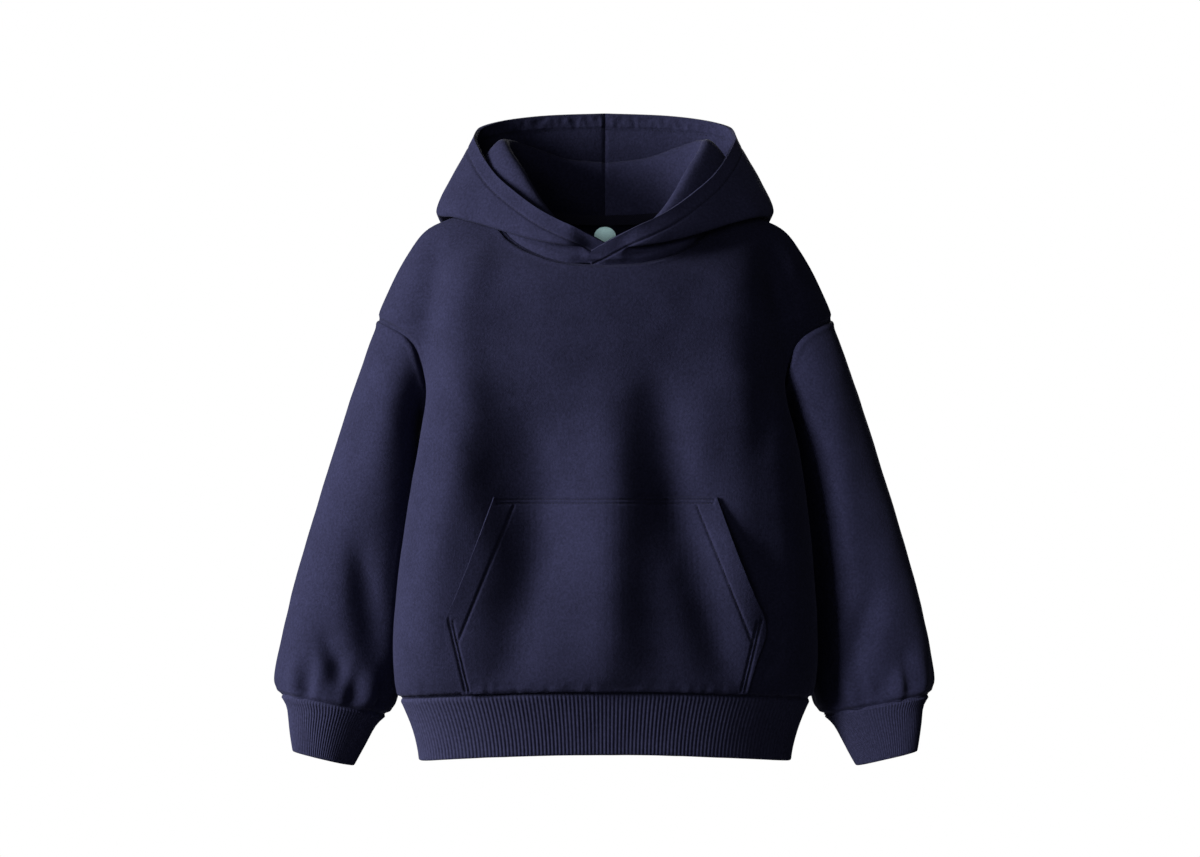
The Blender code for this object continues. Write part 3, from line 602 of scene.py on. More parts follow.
def panel_point(face, across, edge_height):
    """Point of a body panel. across runs from -1 to 1, and edge_height is the row's height at its edge."""
    share = abs(across)
    centre = 0.0 if face == "front" else 180.0
    end = panel_edge(edge_height, face)
    spread = (1 + COLUMN_SPREAD) * share - COLUMN_SPREAD * share ** 3
    angle = mix(centre, end, spread)
    height = mix(middle_height(edge_height), edge_height, share ** 2)
    climb = (edge_height - SHOULDER_TIP) / (NECK_POINT - SHOULDER_TIP)
    if climb > 0:
        seam_x, _, seam_z = neck_seam(mix(centre, 90.0, spread))
        height = edge_height + (seam_z - NECK_POINT) * climb
        seam_share = min(seam_x / BODY.at(seam_z, "half_width"), 1.0)
        seam_angle = math.degrees(math.asin(seam_share))
        angle = mix(angle, abs(centre - seam_angle), climb)
    x, y = body_section(height, angle)
    height += hem_rise(x, face) * ramp(-300, HEM_SEAM, edge_height)
    return Vector((math.copysign(x, across), y, height))


def hem_rise(x, face):
    """How far the hem line lies above its height at the side seams."""
    share = min(abs(x) / HEM_HALF, 1.0)
    return (HEM_BOW if face == "front" else HEM_BOW_BACK * HEM_BOW) * (1 - share ** 2)


def fold_height(folds, x, z):
    """How far the cloth stands out at a place seen from the front, from the folds that pass it."""
    out = 0.0
    for fold in folds:
        t, away = beside_line(x, z, fold["x1"], fold["z1"], fold["x2"], fold["z2"])
        away /= fold["width"]
        if away < FOLD_REACH:
            fade = math.sin(math.pi * (FOLD_END + (1 - 2 * FOLD_END) * t)) ** FOLD_FADE
            out -= fold["depth"] * fade * math.exp(-away * away)
    return out


def beside_line(x, z, x1, z1, x2, z2):
    """Share of the way along a straight line that lies nearest to a place, and the distance to it there."""
    run_x, run_z = x2 - x1, z2 - z1
    t = ((x - x1) * run_x + (z - z1) * run_z) / (run_x * run_x + run_z * run_z)
    t = min(max(t, 0.0), 1.0)
    return t, math.hypot(x - x1 - run_x * t, z - z1 - run_z * t)


def groove(away):
    """How far a row of stitches draws the cloth in, at a distance from it."""
    return -GROOVE_DEPTH * bell(away, GROOVE_WIDTH)


@lru_cache(maxsize=None)
def tube_ring(kind, along):
    """Outer and inner points, middle depth and half depth of a sleeve's or cuff's section."""
    table = SLEEVE if kind == "sleeve" else CUFF
    return tuple(table.at(along, name) for name in table.names[1:])


def oval_section(kind, along, angle):
    """Point of a tube's section. The angle is 0 on its outer line, 90 in front and 180 on its inner line."""
    outer_x, outer_z, inner_x, inner_z, middle_y, half_depth = tube_ring(kind, along)
    turn = math.radians(angle)
    across = math.cos(turn) / 2
    return Vector(((outer_x + inner_x) / 2 + (outer_x - inner_x) * across,
                   middle_y - half_depth * math.sin(turn),
                   (outer_z + inner_z) / 2 + (outer_z - inner_z) * across))


def section_middle(kind, along):
    """Middle of a tube's section."""
    outer_x, outer_z, inner_x, inner_z, middle_y, _ = tube_ring(kind, along)
    return Vector(((outer_x + inner_x) / 2, middle_y, (outer_z + inner_z) / 2))


@lru_cache(maxsize=None)
def armhole_points():
    """Seam points of the right armhole, in turn from the shoulder tip down its front and up its back."""
    heights = [h for h in panel_heights() if UNDERARM <= h <= SHOULDER_TIP]
    front = [panel_point("front", 1.0, h) for h in reversed(heights)]
    back = [panel_point("back", 1.0, h) for h in heights]
    return front + back[1:]


def armhole_angles(points):
    """Section angle for each seam point, by its share of the way along its side of the seam."""
    half = len(points) // 2
    angles = [0.0]
    for side in (points[:half + 1], points[half:]):
        reached = running_lengths(side)
        start = angles[-1]
        angles += [start + 180.0 * way / reached[-1] for way in reached[1:]]
    return angles


def running_lengths(points):
    """Length of the way along a row of points, at each of them."""
    total = [0.0]
    for a, b in zip(points, points[1:]):
        total.append(total[-1] + (b - a).length)
    return total


def outward_level(run):
    """Level direction to the right of a run."""
    return Vector((run.y, -run.x, 0)).normalized()


@lru_cache(maxsize=None)
def seam_guide():
    """Tree of points along every seam, and the direction in which the cloth faces at each of them."""
    lines = []
    side = [panel_point("front", 1.0, mix(HEM_SEAM, UNDERARM, i / GUIDE_LINE))
            for i in range(GUIDE_LINE + 1)]
    lines.append([(co, Vector((1, 0, 0))) for co in side])
    shoulder = [panel_point("front", 1.0, mix(SHOULDER_TIP, NECK_POINT, i / GUIDE_LINE))
                for i in range(GUIDE_LINE + 1)]
    runs = [b - a for a, b in zip(shoulder, shoulder[1:])]
    outs = [Vector((run.z, 0, -run.x)).normalized() for run in runs] + [Vector((0, 0, 1))]
    lines.append(list(zip(shoulder, outs)))
    middle = section_middle("sleeve", 0.0)
    lines.append([(co, (co - middle).normalized()) for co in armhole_points()])
    cuff_middle = section_middle("sleeve", 1.0)
    ring = [oval_section("sleeve", 1.0, TUBE_TURN * i / GUIDE_RING) for i in range(GUIDE_RING + 1)]
    lines.append([(co, (co - cuff_middle).normalized()) for co in ring])
    neck = []
    for i in range(181):
        co = neck_point(float(i))
        out = Vector((co.x, co.y * 1.3, 0)).normalized() + Vector((0, 0, 0.6))
        neck.append((co, out.normalized()))
    lines.append(neck)
    hem = []
    for i in range(361):
        turn = i / 2
        x, y = body_section(HEM_SEAM, turn)
        hem.append((Vector((x, y, HEM_SEAM + hem_rise(x, "front" if turn < 90 else "back"))),
                    Vector((x, y * 3, 0)).normalized()))
    lines.append(hem)
    points = []
    for line in lines:
        for (a, out_a), (b, out_b) in zip(line, line[1:]):
            steps = max(math.ceil((b - a).length / GUIDE_STEP), 1)
            for k in range(steps):
                co, out = a.lerp(b, k / steps), out_a.lerp(out_b, k / steps)
                points.append((co, out))
                points.append((Vector((-co.x, co.y, co.z)), Vector((-out.x, out.y, out.z))))
    tree = KDTree(len(points))
    for i, (co, _) in enumerate(points):
        tree.insert(co, i)
    tree.balance()
    return tree, [out for _, out in points]


class Cloth:
    """One piece of cloth while it is made: a sheet of columns and rows, in millimetres."""

    def __init__(self, columns, rows, place, middle=(0.5, 0.5), tube=False):
        self.bm = bmesh.new()
        layer = self.bm.loops.layers.uv.new("cloth")
        bmesh.ops.create_grid(self.bm, x_segments=columns, y_segments=rows, size=0.5)
        self.bm.verts.ensure_lookup_table()
        for vert in self.bm.verts:
            vert.co = place(vert.co.x + 0.5, vert.co.y + 0.5)
        wide = columns + 1
        verts = list(self.bm.verts)
        self.rows = [verts[j * wide:(j + 1) * wide] for j in range(rows + 1)]
        across = running_lengths([vert.co for vert in self.rows[round(middle[1] * rows)]])
        along = running_lengths([row[round(middle[0] * columns)].co for row in self.rows])
        self.bm.verts.index_update()
        for face in self.bm.faces:
            for loop in face.loops:
                j, i = divmod(loop.vert.index, wide)
                loop[layer].uv = (across[i] * MM, along[j] * MM)
        if tube:
            bmesh.ops.weld_verts(self.bm, targetmap={row[-1]: row[0] for row in self.rows})
            self.rows = [row[:-1] + row[:1] for row in self.rows]
        self.bm.normal_update()

    def lines_from(self, edge):
        """The sheet's lines of points that start at one edge and run inwards."""
        if edge == "top":
            return [list(line) for line in zip(*reversed(self.rows))]
        if edge == "bottom":
            return [list(line) for line in zip(*self.rows)]
        if edge == "left":
            return self.rows
        return [row[::-1] for row in self.rows]

    def inset(self, edge, distance):
        """Places at a distance inside one edge, each a point and the way the cloth faces."""
        self.bm.normal_update()
        found = []
        for line in self.lines_from(edge):
            way = 0.0
            for a, b in zip(line, line[1:]):
                step = (b.co - a.co).length
                if way + step >= distance:
                    t = (distance - way) / step
                    found.append((a.co.lerp(b.co, t), a.normal.lerp(b.normal, t).normalized()))
                    break
                way += step
        return found

    def by_edge(self, edge, reach, effect):
        """A value for each point within reach of an edge, from the way in from it and the way along it."""
        lines = self.lines_from(edge)
        values = {}
        for line, along in zip(lines, running_lengths([line[0].co for line in lines])):
            way = 0.0
            for a, b in zip(line, line[1:]):
                values[a] = effect(way, along)
                way += (b.co - a.co).length
                if way > reach:
                    break
        return values

    def by_lines(self, lines, reach, effect):
        """A value for each point within reach of straight lines seen from the front, from its distance."""
        values = {}
        for vert in self.bm.verts:
            away = min(beside_line(vert.co.x, vert.co.z, *line)[1] for line in lines)
            if away < reach:
                values[vert] = effect(away)
        return values

    def soften(self, times):
        """Ease the sheet between its edges."""
        inside = [vert for vert in self.bm.verts if not vert.is_boundary]
        for _ in range(times):
            bmesh.ops.smooth_vert(self.bm, verts=inside, factor=0.5, use_axis_x=True, use_axis_y=True,
                                  use_axis_z=True)

    def press(self, values):
        """Move points along the way the cloth faces."""
        self.bm.normal_update()
        moves = [(vert, vert.normal * value) for vert, value in values.items()]
        for vert, move in moves:
            vert.co += move

    def draw_seams(self, seed, uneven=SWELL, roll=ROLL):
        """Draw the cloth in along its seams, roll it up beside them, and let it swell and sink between."""
        tree, facing = seam_guide()
        dip = size("seam_dip")
        self.bm.normal_update()
        moves = []
        for vert in self.bm.verts:
            _, i, away = tree.find(vert.co)
            out = facing[i].lerp(vert.normal, ramp(0.0, OWN_WAY, away))
            swell = noise.noise(vert.co / SWELL_PATCH + Vector((seed, 0.0, 0.0)))
            swell += 0.5 * noise.noise(vert.co / (SWELL_PATCH * FINE_PATCH) + Vector((0.0, seed, 0.0)))
            free = 1 - bell(away, SWELL_FROM)
            at_seam = roll * bell(away - ROLL_PLACE, ROLL_WIDTH) - dip * bell(away, DIP_WIDTH)
            moves.append(out * (uneven * swell * free + at_seam))
        for vert, move in zip(self.bm.verts, moves):
            vert.co += move

    def close(self, wall, extra=None):
        """Make the sheet a closed wall, thickened on its inner side. extra adds to it at single points."""
        self.bm.normal_update()
        extra = extra or {}
        inner = {vert.co.to_tuple(5): vert.co - vert.normal * (wall + extra.get(vert, 0.0))
                 for vert in self.bm.verts}
        outer = set(self.bm.verts)
        bmesh.ops.extrude_face_region(self.bm, geom=self.bm.faces[:])
        for vert in self.bm.verts:
            if vert not in outer:
                vert.co = inner[vert.co.to_tuple(5)]
        bmesh.ops.recalc_face_normals(self.bm, faces=self.bm.faces)
        rims = [edge for edge in self.bm.edges if edge.calc_face_angle(0.0) > RIM_ANGLE
                and any(abs(vert.co.x) > CENTRE_NEAR for vert in edge.verts)]
        bmesh.ops.bevel(self.bm, geom=rims, offset=RIM_ROUND, offset_type="OFFSET", segments=2, profile=0.5,
                        affect="EDGES", material=-1, clamp_overlap=True)


def finish_piece(name, bm, material, nodes=()):
    """Object from a mesh in millimetres, tied to the frame."""
    bmesh.ops.scale(bm, vec=(MM, MM, MM), verts=bm.verts)
    mesh = bpy.data.meshes.new(name)
    bm.to_mesh(mesh)
    bm.free()
    mesh.shade_smooth()
    mesh.set_sharp_from_angle(angle=SHADE_ANGLE)
    piece = bpy.data.objects.new(name, mesh)
    bpy.context.scene.collection.objects.link(piece)
    mesh.materials.append(material)
    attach(piece, BODY_NAME)
    if nodes:
        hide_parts(*nodes)
    return piece


def cut(flat, area, held, *rests_on):
    """A piece's cut before it was sewn, in metres, how it is held and what it rests on."""
    return dict(flat=flat, area=area, held=held, rests_on=list(rests_on))


CUTS = {
    "front_panel_fleece": cut((0.440, 0.400), 0.157, "hung", "sleeve_left_fleece", "sleeve_right_fleece"),
    "back_panel_fleece": cut((0.400, 0.400), 0.142, "hung", "front_panel_fleece"),
    "hem_band_rib": cut((0.800, 0.048), 0.038, "stretched", "front_panel_fleece"),
    "pocket_fleece": cut((0.252, 0.156), 0.036, "laid", "front_panel_fleece"),
    "neck_tape_twill": cut((0.130, 0.010), 0.00105, "laid", "back_panel_fleece"),
    "label_satin": cut((0.017, 0.0125), 0.000167, "laid", "back_panel_fleece"),
}
for _, word in SIDES:
    CUTS[f"sleeve_{word}_fleece"] = cut((0.280, 0.305), 0.077, "gathered", f"cuff_{word}_rib")
    CUTS[f"cuff_{word}_rib"] = cut((0.200, 0.043), 0.0085, "stretched", f"sleeve_{word}_fleece")
    CUTS[f"hood_{word}_fleece"] = cut((0.300, 0.250), 0.0505, "folded", "back_panel_fleece")


def finish_fleece(name, cloth, node, extra=None):
    """Fleece piece from a sheet: its wall and its object."""
    cloth.close(size("wall"), extra)
    finish_piece(name, cloth.bm, fleece_finish(), [node])


class Finish:
    """A material while it is made, node by node."""

    def __init__(self, name, **settings):
        self.material = bpy.data.materials.new(name)
        self.material.use_nodes = True
        self.tree = self.material.node_tree
        self.shader = self.tree.nodes["Principled BSDF"]
        for key, value in settings.items():
            self.shader.inputs[key.replace("_", " ").title().replace("Ior", "IOR")].default_value = value

    def node(self, kind, inputs=None, **settings):
        """New node. inputs maps the names of its sockets to numbers or to other nodes' outputs."""
        node = self.tree.nodes.new(kind)
        for key, value in settings.items():
            setattr(node, key, value)
        for key, value in (inputs or {}).items():
            if isinstance(value, bpy.types.NodeSocket):
                self.tree.links.new(value, node.inputs[key])
            else:
                node.inputs[key].default_value = value
        return node

    def into(self, socket, output):
        """Feed one of the shader's sockets."""
        self.tree.links.new(output, self.shader.inputs[socket])

    def object_place(self):
        """Place in the piece's own space, in metres."""
        return self.node("ShaderNodeTexCoord").outputs["Object"]

    def cloth_place(self):
        """Place on the cloth, in metres."""
        return self.node("ShaderNodeUVMap", uv_map="cloth").outputs["UV"]

    def noise(self, place, per_metre, detail=2.0, rough=0.5):
        """Noise with so many features to a metre."""
        return self.node("ShaderNodeTexNoise", {"Vector": place, "Scale": per_metre, "Detail": detail,
                                                "Roughness": rough}).outputs["Fac"]

    def bands(self, place, pitch, direction="X", distortion=1.0):
        """Even bands at a pitch in metres."""
        return self.node("ShaderNodeTexWave", {"Vector": place, "Scale": math.pi / 10 / pitch,
                                               "Distortion": distortion, "Detail": 1.5, "Detail Scale": 1.5},
                         wave_type="BANDS", bands_direction=direction).outputs["Fac"]

    def maths(self, how, a, b):
        """Result of a sum of two values."""
        return self.node("ShaderNodeMath", {0: a, 1: b}, operation=how).outputs[0]

    def weighted(self, *parts):
        """Sum of values, each times its share."""
        total, *rest = [self.maths("MULTIPLY", value, share) for value, share in parts]
        for part in rest:
            total = self.maths("ADD", total, part)
        return total

    def shade(self, value, colour, *stops):
        """Colour that follows a value. Each stop is a place and the share by which it is lighter."""
        node = self.node("ShaderNodeValToRGB", {"Fac": value})
        marks = node.color_ramp.elements
        shades = [(place, (*(min(part * (1 + share), 1.0) for part in colour), 1.0))
                  for place, share in stops]
        for mark, (place, tinted) in zip(marks, (shades[0], shades[-1])):
            mark.position, mark.color = place, tinted
        for place, tinted in shades[1:-1]:
            marks.new(place).color = tinted
        self.into("Base Color", node.outputs["Color"])

    def bump(self, height, depth, strength=1.0):
        """Fine relief of a height from 0 to 1 and a depth in metres."""
        node = self.node("ShaderNodeBump", {"Height": height, "Distance": depth, "Strength": strength})
        self.into("Normal", node.outputs["Normal"])


def fleece_finish():
    """Brushed navy cotton fleece: a fine knit face with a short nap and faint mottling."""
    found = bpy.data.materials.get("navy_fleece")
    if found:
        return found
    made = Finish("navy_fleece", roughness=0.92, specular_ior_level=0.06, sheen_weight=0.02,
                  sheen_roughness=0.5, sheen_tint=(0.62, 0.64, 0.80, 1.0))
    place = made.object_place()
    on_cloth = made.cloth_place()
    wales = made.bands(on_cloth, 0.0011, "X", 1.6)
    courses = made.bands(on_cloth, 0.0008, "Y", 1.2)
    nap = made.noise(place, 1500.0, 3.0, 0.65)
    mottle = made.noise(place, 520.0, 4.0, 0.6)
    cloud = made.noise(place, 38.0, 3.0, 0.5)
    made.bump(made.weighted((wales, 0.06), (courses, 0.04), (nap, 0.5), (mottle, 0.8)), 0.0007, 0.55)
    made.shade(made.weighted((mottle, 0.75), (cloud, 0.25)), colour_of("fleece"),
               (0.32, -0.30), (0.5, 0.0), (0.68, 0.34))
    return made.material


def rib_finish():
    """Navy rib knit: fine stitches along each rib."""
    found = bpy.data.materials.get("navy_rib")
    if found:
        return found
    made = Finish("navy_rib", roughness=0.9, specular_ior_level=0.08, sheen_weight=0.02,
                  sheen_roughness=0.5, sheen_tint=(0.60, 0.62, 0.78, 1.0))
    place = made.cloth_place()
    courses = made.bands(place, 0.0009, "Y", 0.8)
    nap = made.noise(place, 1600.0, 3.0, 0.6)
    mottle = made.noise(place, 420.0, 3.0, 0.6)
    made.bump(made.weighted((courses, 0.45), (nap, 0.6)), 0.0005, 0.5)
    made.shade(mottle, colour_of("rib"), (0.30, -0.25), (0.5, 0.0), (0.70, 0.28))
    return made.material


def thread_finish():
    """Navy sewing thread, a little glossier than the cloth, its colour painted darker as the shade of the
    stitch grooves.
    """
    found = bpy.data.materials.get("navy_thread")
    if found:
        return found
    made = Finish("navy_thread", roughness=0.7, specular_ior_level=0.2, sheen_weight=0.0, sheen_roughness=0.4)
    twist = made.noise(made.object_place(), 2600.0, 2.0, 0.5)
    made.bump(twist, 0.0002, 0.5)
    made.shade(twist, colour_of("thread"), (0.35, -0.25), (0.65, 0.3))
    return made.material


def tape_finish():
    """Dark navy cotton tape in a fine slanting weave."""
    made = Finish("navy_tape", roughness=0.8, specular_ior_level=0.2, sheen_weight=0.02, sheen_roughness=0.5)
    place = made.cloth_place()
    slant = made.bands(place, 0.0009, "DIAGONAL", 0.3)
    nap = made.noise(place, 1400.0, 2.0, 0.5)
    made.bump(made.maths("ADD", slant, made.maths("MULTIPLY", nap, 0.4)), 0.0004, 0.6)
    made.shade(slant, colour_of("tape"), (0.2, -0.3), (0.8, 0.4))
    return made.material


def label_finish():
    """Aqua satin weave with a faint shimmer, and nothing on it. Its colour is painted lighter than the
    satin's own, as painted light against the shade inside the neck.
    """
    made = Finish("aqua_satin", roughness=0.42, specular_ior_level=0.4, sheen_weight=0.1, sheen_roughness=0.3)
    place = made.object_place()
    made.bump(made.bands(place, 0.0004, "Z", 0.4), 0.0002, 0.4)
    made.shade(made.noise(place, 900.0, 2.0, 0.5), colour_of("label"), (0.3, -0.10), (0.7, 0.08))
    return made.material


def panel_sheet(face):
    """Sheet of the front or back panel."""
    heights = panel_heights()
    turn = 1.0 if face == "front" else -1.0
    folds = FRONT_FOLDS if face == "front" else BACK_FOLDS
    columns = FRONT_COLUMNS if face == "front" else BACK_COLUMNS
    rows = len(heights) - 1

    def place(u, v):
        return panel_point(face, turn * (2 * crowd(u) - 1), heights[round(v * rows)])

    cloth = Cloth(columns, rows, place)
    folded = {}
    for row in cloth.rows:
        for i, vert in enumerate(row):
            inside = 1 - abs(2 * crowd(i / columns) - 1)
            fade = ramp(HEM_SEAM - 2, HEM_SEAM + PANEL_FADE, vert.co.z) * ramp(0, SIDE_FADE, inside)
            folded[vert] = fold_height(folds, vert.co.x, vert.co.z) * fade
    cloth.press(folded)
    cloth.soften(SOFTEN)
    return cloth


def sleeve_sheet(side):
    """Sheet of a sleeve from armhole to cuff. side is -1 for the left one."""
    seam = armhole_points()
    angles = armhole_angles(seam)
    columns = len(seam) - 1
    folds = RIGHT_SLEEVE_FOLDS if side > 0 else LEFT_SLEEVE_FOLDS

    def gather(turn, along):
        wave = sum(g["depth"] * math.cos(turn * g["waves"] + g["turn"] + side) for g in GATHERS)
        return wave * ramp(GATHER_FROM, GATHER_FULL, along) * (1 - GATHER_EASE * ramp(0.96, 1.0, along))

    def place(u, v):
        i = round((1 - u if side > 0 else u) * columns)
        along = crowd(1 - v)
        reach = 1 - ramp(0.0, SLEEVE_HEAD, along)
        co = oval_section("sleeve", along, angles[i])
        co += (seam[i] - oval_section("sleeve", 0.0, angles[i])) * reach
        middle = section_middle("sleeve", along)
        co += (co - middle).normalized() * gather(math.radians(angles[i]), along)
        if co.y < middle.y:
            front = max(math.sin(math.radians(angles[i])), 0.0)
            co.y -= fold_height(folds, co.x, co.z) * front
            if angles[i] > 90:
                full = ramp(0.05, 0.3, along) * (1 - ramp(0.8, 1.0, along))
                co.y -= tube_ring("sleeve", along)[-1] * (front ** SLEEVE_FULL - front) * full
        return Vector((co.x * side, co.y, co.z))

    cloth = Cloth(columns, SLEEVE_ROWS, place, tube=True)
    cloth.soften(SOFTEN // 2)
    return cloth


def even_angles(point, count):
    """Angles that lie an even way apart round a closed ring."""
    samples = [TUBE_TURN * i / RING_SAMPLES for i in range(RING_SAMPLES + 1)]
    reached = running_lengths([point(angle, GIRTH_AT) for angle in samples])
    found = []
    for k in range(count + 1):
        way = reached[-1] * k / count
        low = min(bisect_right(reached, way) - 1, RING_SAMPLES - 1)
        share = (way - reached[low]) / (reached[low + 1] - reached[low])
        found.append(mix(samples[low], samples[low + 1], share))
    return found


# Section of a ribbed band: share of the way down, and how far out it lies, in ribs' heights and walls.
BAND_PROFILE = (
    (0.0, 0.35, 0), (0.02, 0.7, 0), (0.05, 1, 0), (0.1, 1, 0), (0.18, 1, 0), (0.28, 1, 0),
    (0.4, 1, 0), (0.52, 1, 0), (0.64, 1, 0), (0.76, 1, 0), (0.86, 1, 0), (0.93, 1, 0),
    (0.97, 0.9, 0), (0.99, 0.7, -0.12), (1.0, 0.3, -0.4), (1.0, 0, -0.85), (0.985, 0, -1.15),
    (0.95, 0, -1.25), (0.6, 0, -1.25), (0.25, 0, -1.2), (0.0, 0, -1.1),
)


def band(point, pitch, seed):
    """Ribbed band of doubled knit. point gives its plain outer face for an angle and a share down."""
    girth = running_lengths([point(float(angle), GIRTH_AT) for angle in range(361)])[-1]
    ribs = round(girth / pitch)
    columns = ribs * RIB_POINTS
    angles = even_angles(point, columns)
    rows = len(BAND_PROFILE)
    wall = size("wall")
    height = size("rib_height")

    @lru_cache(maxsize=None)
    def facing(column, down):
        angle = angles[column]
        across = point(angle + 1, down) - point(angle - 1, down)
        along = point(angle, min(down + 0.05, 1)) - point(angle, max(down - 0.05, 0))
        return along.cross(across).normalized()

    def place(u, v):
        column = round(u * columns) % columns
        down, rib, walls = BAND_PROFILE[round(v * rows) % rows]
        ridge = (0.5 + 0.5 * math.cos(2 * math.pi * column / RIB_POINTS)) ** RIB_ROUND
        uneven = 1 + RIB_UNEVEN * noise.noise(Vector((column / 23, down * 3, seed)))
        co = point(angles[column], down)
        return co + facing(column, down) * (height * ridge * rib * uneven + wall * walls)

    made = Cloth(columns, rows, place, middle=(0.5, 0.3), tube=True)
    bmesh.ops.remove_doubles(made.bm, verts=made.bm.verts, dist=1e-4)
    return made


def finish_band(name, cloth, seed, node):
    """Piece from a band, drawn in at its seam."""
    cloth.draw_seams(seed, uneven=BAND_SWELL, roll=0.0)
    bmesh.ops.recalc_face_normals(cloth.bm, faces=cloth.bm.faces)
    finish_piece(name, cloth.bm, rib_finish(), [node])


def hem_point(angle, down):
    """Plain outer face of the hem band."""
    angle %= TUBE_TURN
    turn = angle if angle <= 180 else TUBE_TURN - angle
    x, y = body_section(HEM_SEAM, turn)
    x = math.copysign(x, 180 - angle)
    face = "front" if turn < 90 else "back"
    lost = HEM_TAPER * (1 - (1 - down) ** HEM_CURVE)
    shrink = 1 - lost / BODY.at(HEM_SEAM, "half_width")
    height = HEM_SEAM - HEM_DEPTH * down + hem_rise(x, face)
    return Vector((x * shrink, y * (1 - HEM_FLATTEN * (1 - shrink)), height))


def tree_of(name):
    """Tree of a finished piece's faces, in metres."""
    bm = bmesh.new()
    bm.from_mesh(bpy.data.objects[name].data)
    tree = BVHTree.FromBMesh(bm)
    bm.free()
    return tree


def laid_on(tree, x, z, toward):
    """Point and facing of the cloth met when looking along Y from the outside, in millimetres."""
    start = Vector((x, -toward * REACH, z)) * MM
    hit, out, _, _ = tree.ray_cast(start, Vector((0, toward, 0)))
    if hit is None:
        return None
    return hit / MM, out


def pocket_sheet():
    """Sheet of the kangaroo pocket, laid on the front panel and standing off it at the hand openings."""
    tree = tree_of("front_panel_fleece")
    wall = size("wall")

    def place(u, v):
        across = 2 * crowd(u, POCKET_CROWD) - 1
        v = crowd(v, POCKET_CROWD)
        z = mix(POCKET_FOOT, POCKET_TOP, v)
        x = across * POCKET.at(z, "half_width")
        z += hem_rise(x, "front") * (1 - v)
        co, out = laid_on(tree, x, z, 1.0)
        open_share = min(max((z - POCKET_CORNER) / (POCKET_TOP - POCKET_CORNER), 0.0), 1.0)
        at_side = math.sin(math.pi * open_share) ** 1.2
        at_middle = math.sin(math.pi * v) * MIDDLE_PUFF
        puff = mix(at_middle, at_side, abs(across) ** 1.5) * POCKET_PUFF
        return co + out * (POCKET_LAY + wall) - Vector((0, puff, 0))

    return Cloth(POCKET_COLUMNS, POCKET_ROWS, place)


def curve_through(a, leave, b, arrive, t):
    """Point of the smooth curve from a to b that leaves and arrives along the given directions."""
    return (a * (1 + 2 * t) * (1 - t) ** 2 + b * t * t * (3 - 2 * t)
            + leave * t * (1 - t) ** 2 + arrive * t * t * (t - 1))


def hood_line(name, angle):
    """Point of the hood's crest, valley or rim."""
    if angle > 180:
        return hood_line(name, TUBE_TURN - angle) * Vector((-1, 1, 1))
    return Vector(tuple(HOOD.at(angle, f"{name}_{axis}") for axis in "xyz"))


def turning(a, b, radius):
    """How far a smooth curve between two heights sets out level, to turn at the given radius."""
    return math.sqrt(6 * radius * abs(a.z - b.z))


@lru_cache(maxsize=None)
def hood_column(angle):
    """The four points and the directions that shape the hood at one angle."""
    neck = neck_point(angle)
    crest, valley, rim = (hood_line(name, angle) for name in ("crest", "valley", "rim"))
    run = hood_line("valley", angle + 4) - hood_line("valley", angle - 4)
    out = outward_level(run)
    fold = HOOD.at(angle, "fold")
    up = Vector((0, 0, CREST_LIFT * (crest - neck).length)) + (crest - neck) * 0.3
    over = (valley - neck) / 2
    under = (rim - crest) / 2
    at_crest = over.lerp(out * turning(crest, neck, CREST_RADIUS), fold)
    off_crest = over.lerp(out * turning(crest, valley, CREST_RADIUS), fold)
    at_valley = under.lerp(out * turning(crest, valley, VALLEY_RADIUS), fold)
    off_valley = under.lerp(out * turning(valley, rim, VALLEY_RADIUS), fold)
    rise = (crest - neck).lerp(up, fold)
    return neck, rise, crest, at_crest, off_crest, valley, at_valley, off_valley, rim


def hood_point(angle, row, side):
    """Point of a hood half in the given row, from the neck seam over crest and valley to the rim."""
    neck, rise, crest, at_crest, off_crest, valley, at_valley, off_valley, rim = hood_column(angle)
    if row <= CREST_ROWS:
        co = curve_through(neck, rise, crest, at_crest, row / CREST_ROWS)
    elif row <= CREST_ROWS + VALLEY_ROWS:
        co = curve_through(crest, off_crest, valley, at_valley, (row - CREST_ROWS) / VALLEY_ROWS)
    else:
        t = (row - CREST_ROWS - VALLEY_ROWS) / RIM_ROWS
        co = curve_through(valley, off_valley, rim, (rim - valley) * RIM_LEAD, t)
    return Vector((co.x * side, co.y, co.z))


def hood_sheet(side):
    """Sheet of half the hood. side is -1 for the left one, whose front edge lies under the right one's."""
    rows = CREST_ROWS + VALLEY_ROWS + RIM_ROWS
    end = FLAP_END if side > 0 else FLAP_END + FLAP_SHORT

    def place(u, v):
        share = crowd(u if side > 0 else 1 - u, HOOD_CROWD) ** HOOD_FRONT_CROWD
        co = hood_point(mix(end, 180.0, share), rows * (1 - (1 - v) ** HOOD_RIM_CROWD), side)
        if side < 0 and co.y < 0:
            co.y += FLAP_UNDER * ramp(-30, -11, co.x)
        return co

    return Cloth(HOOD_COLUMNS, HOOD_ROWS, place, middle=(0.5, 0.8))


def centre_groove(depth):
    """Effect of the hood's centre seam, which draws the cloth in by a depth."""
    return lambda way, along: -depth * bell(way, CENTRE_DIP_WIDTH)


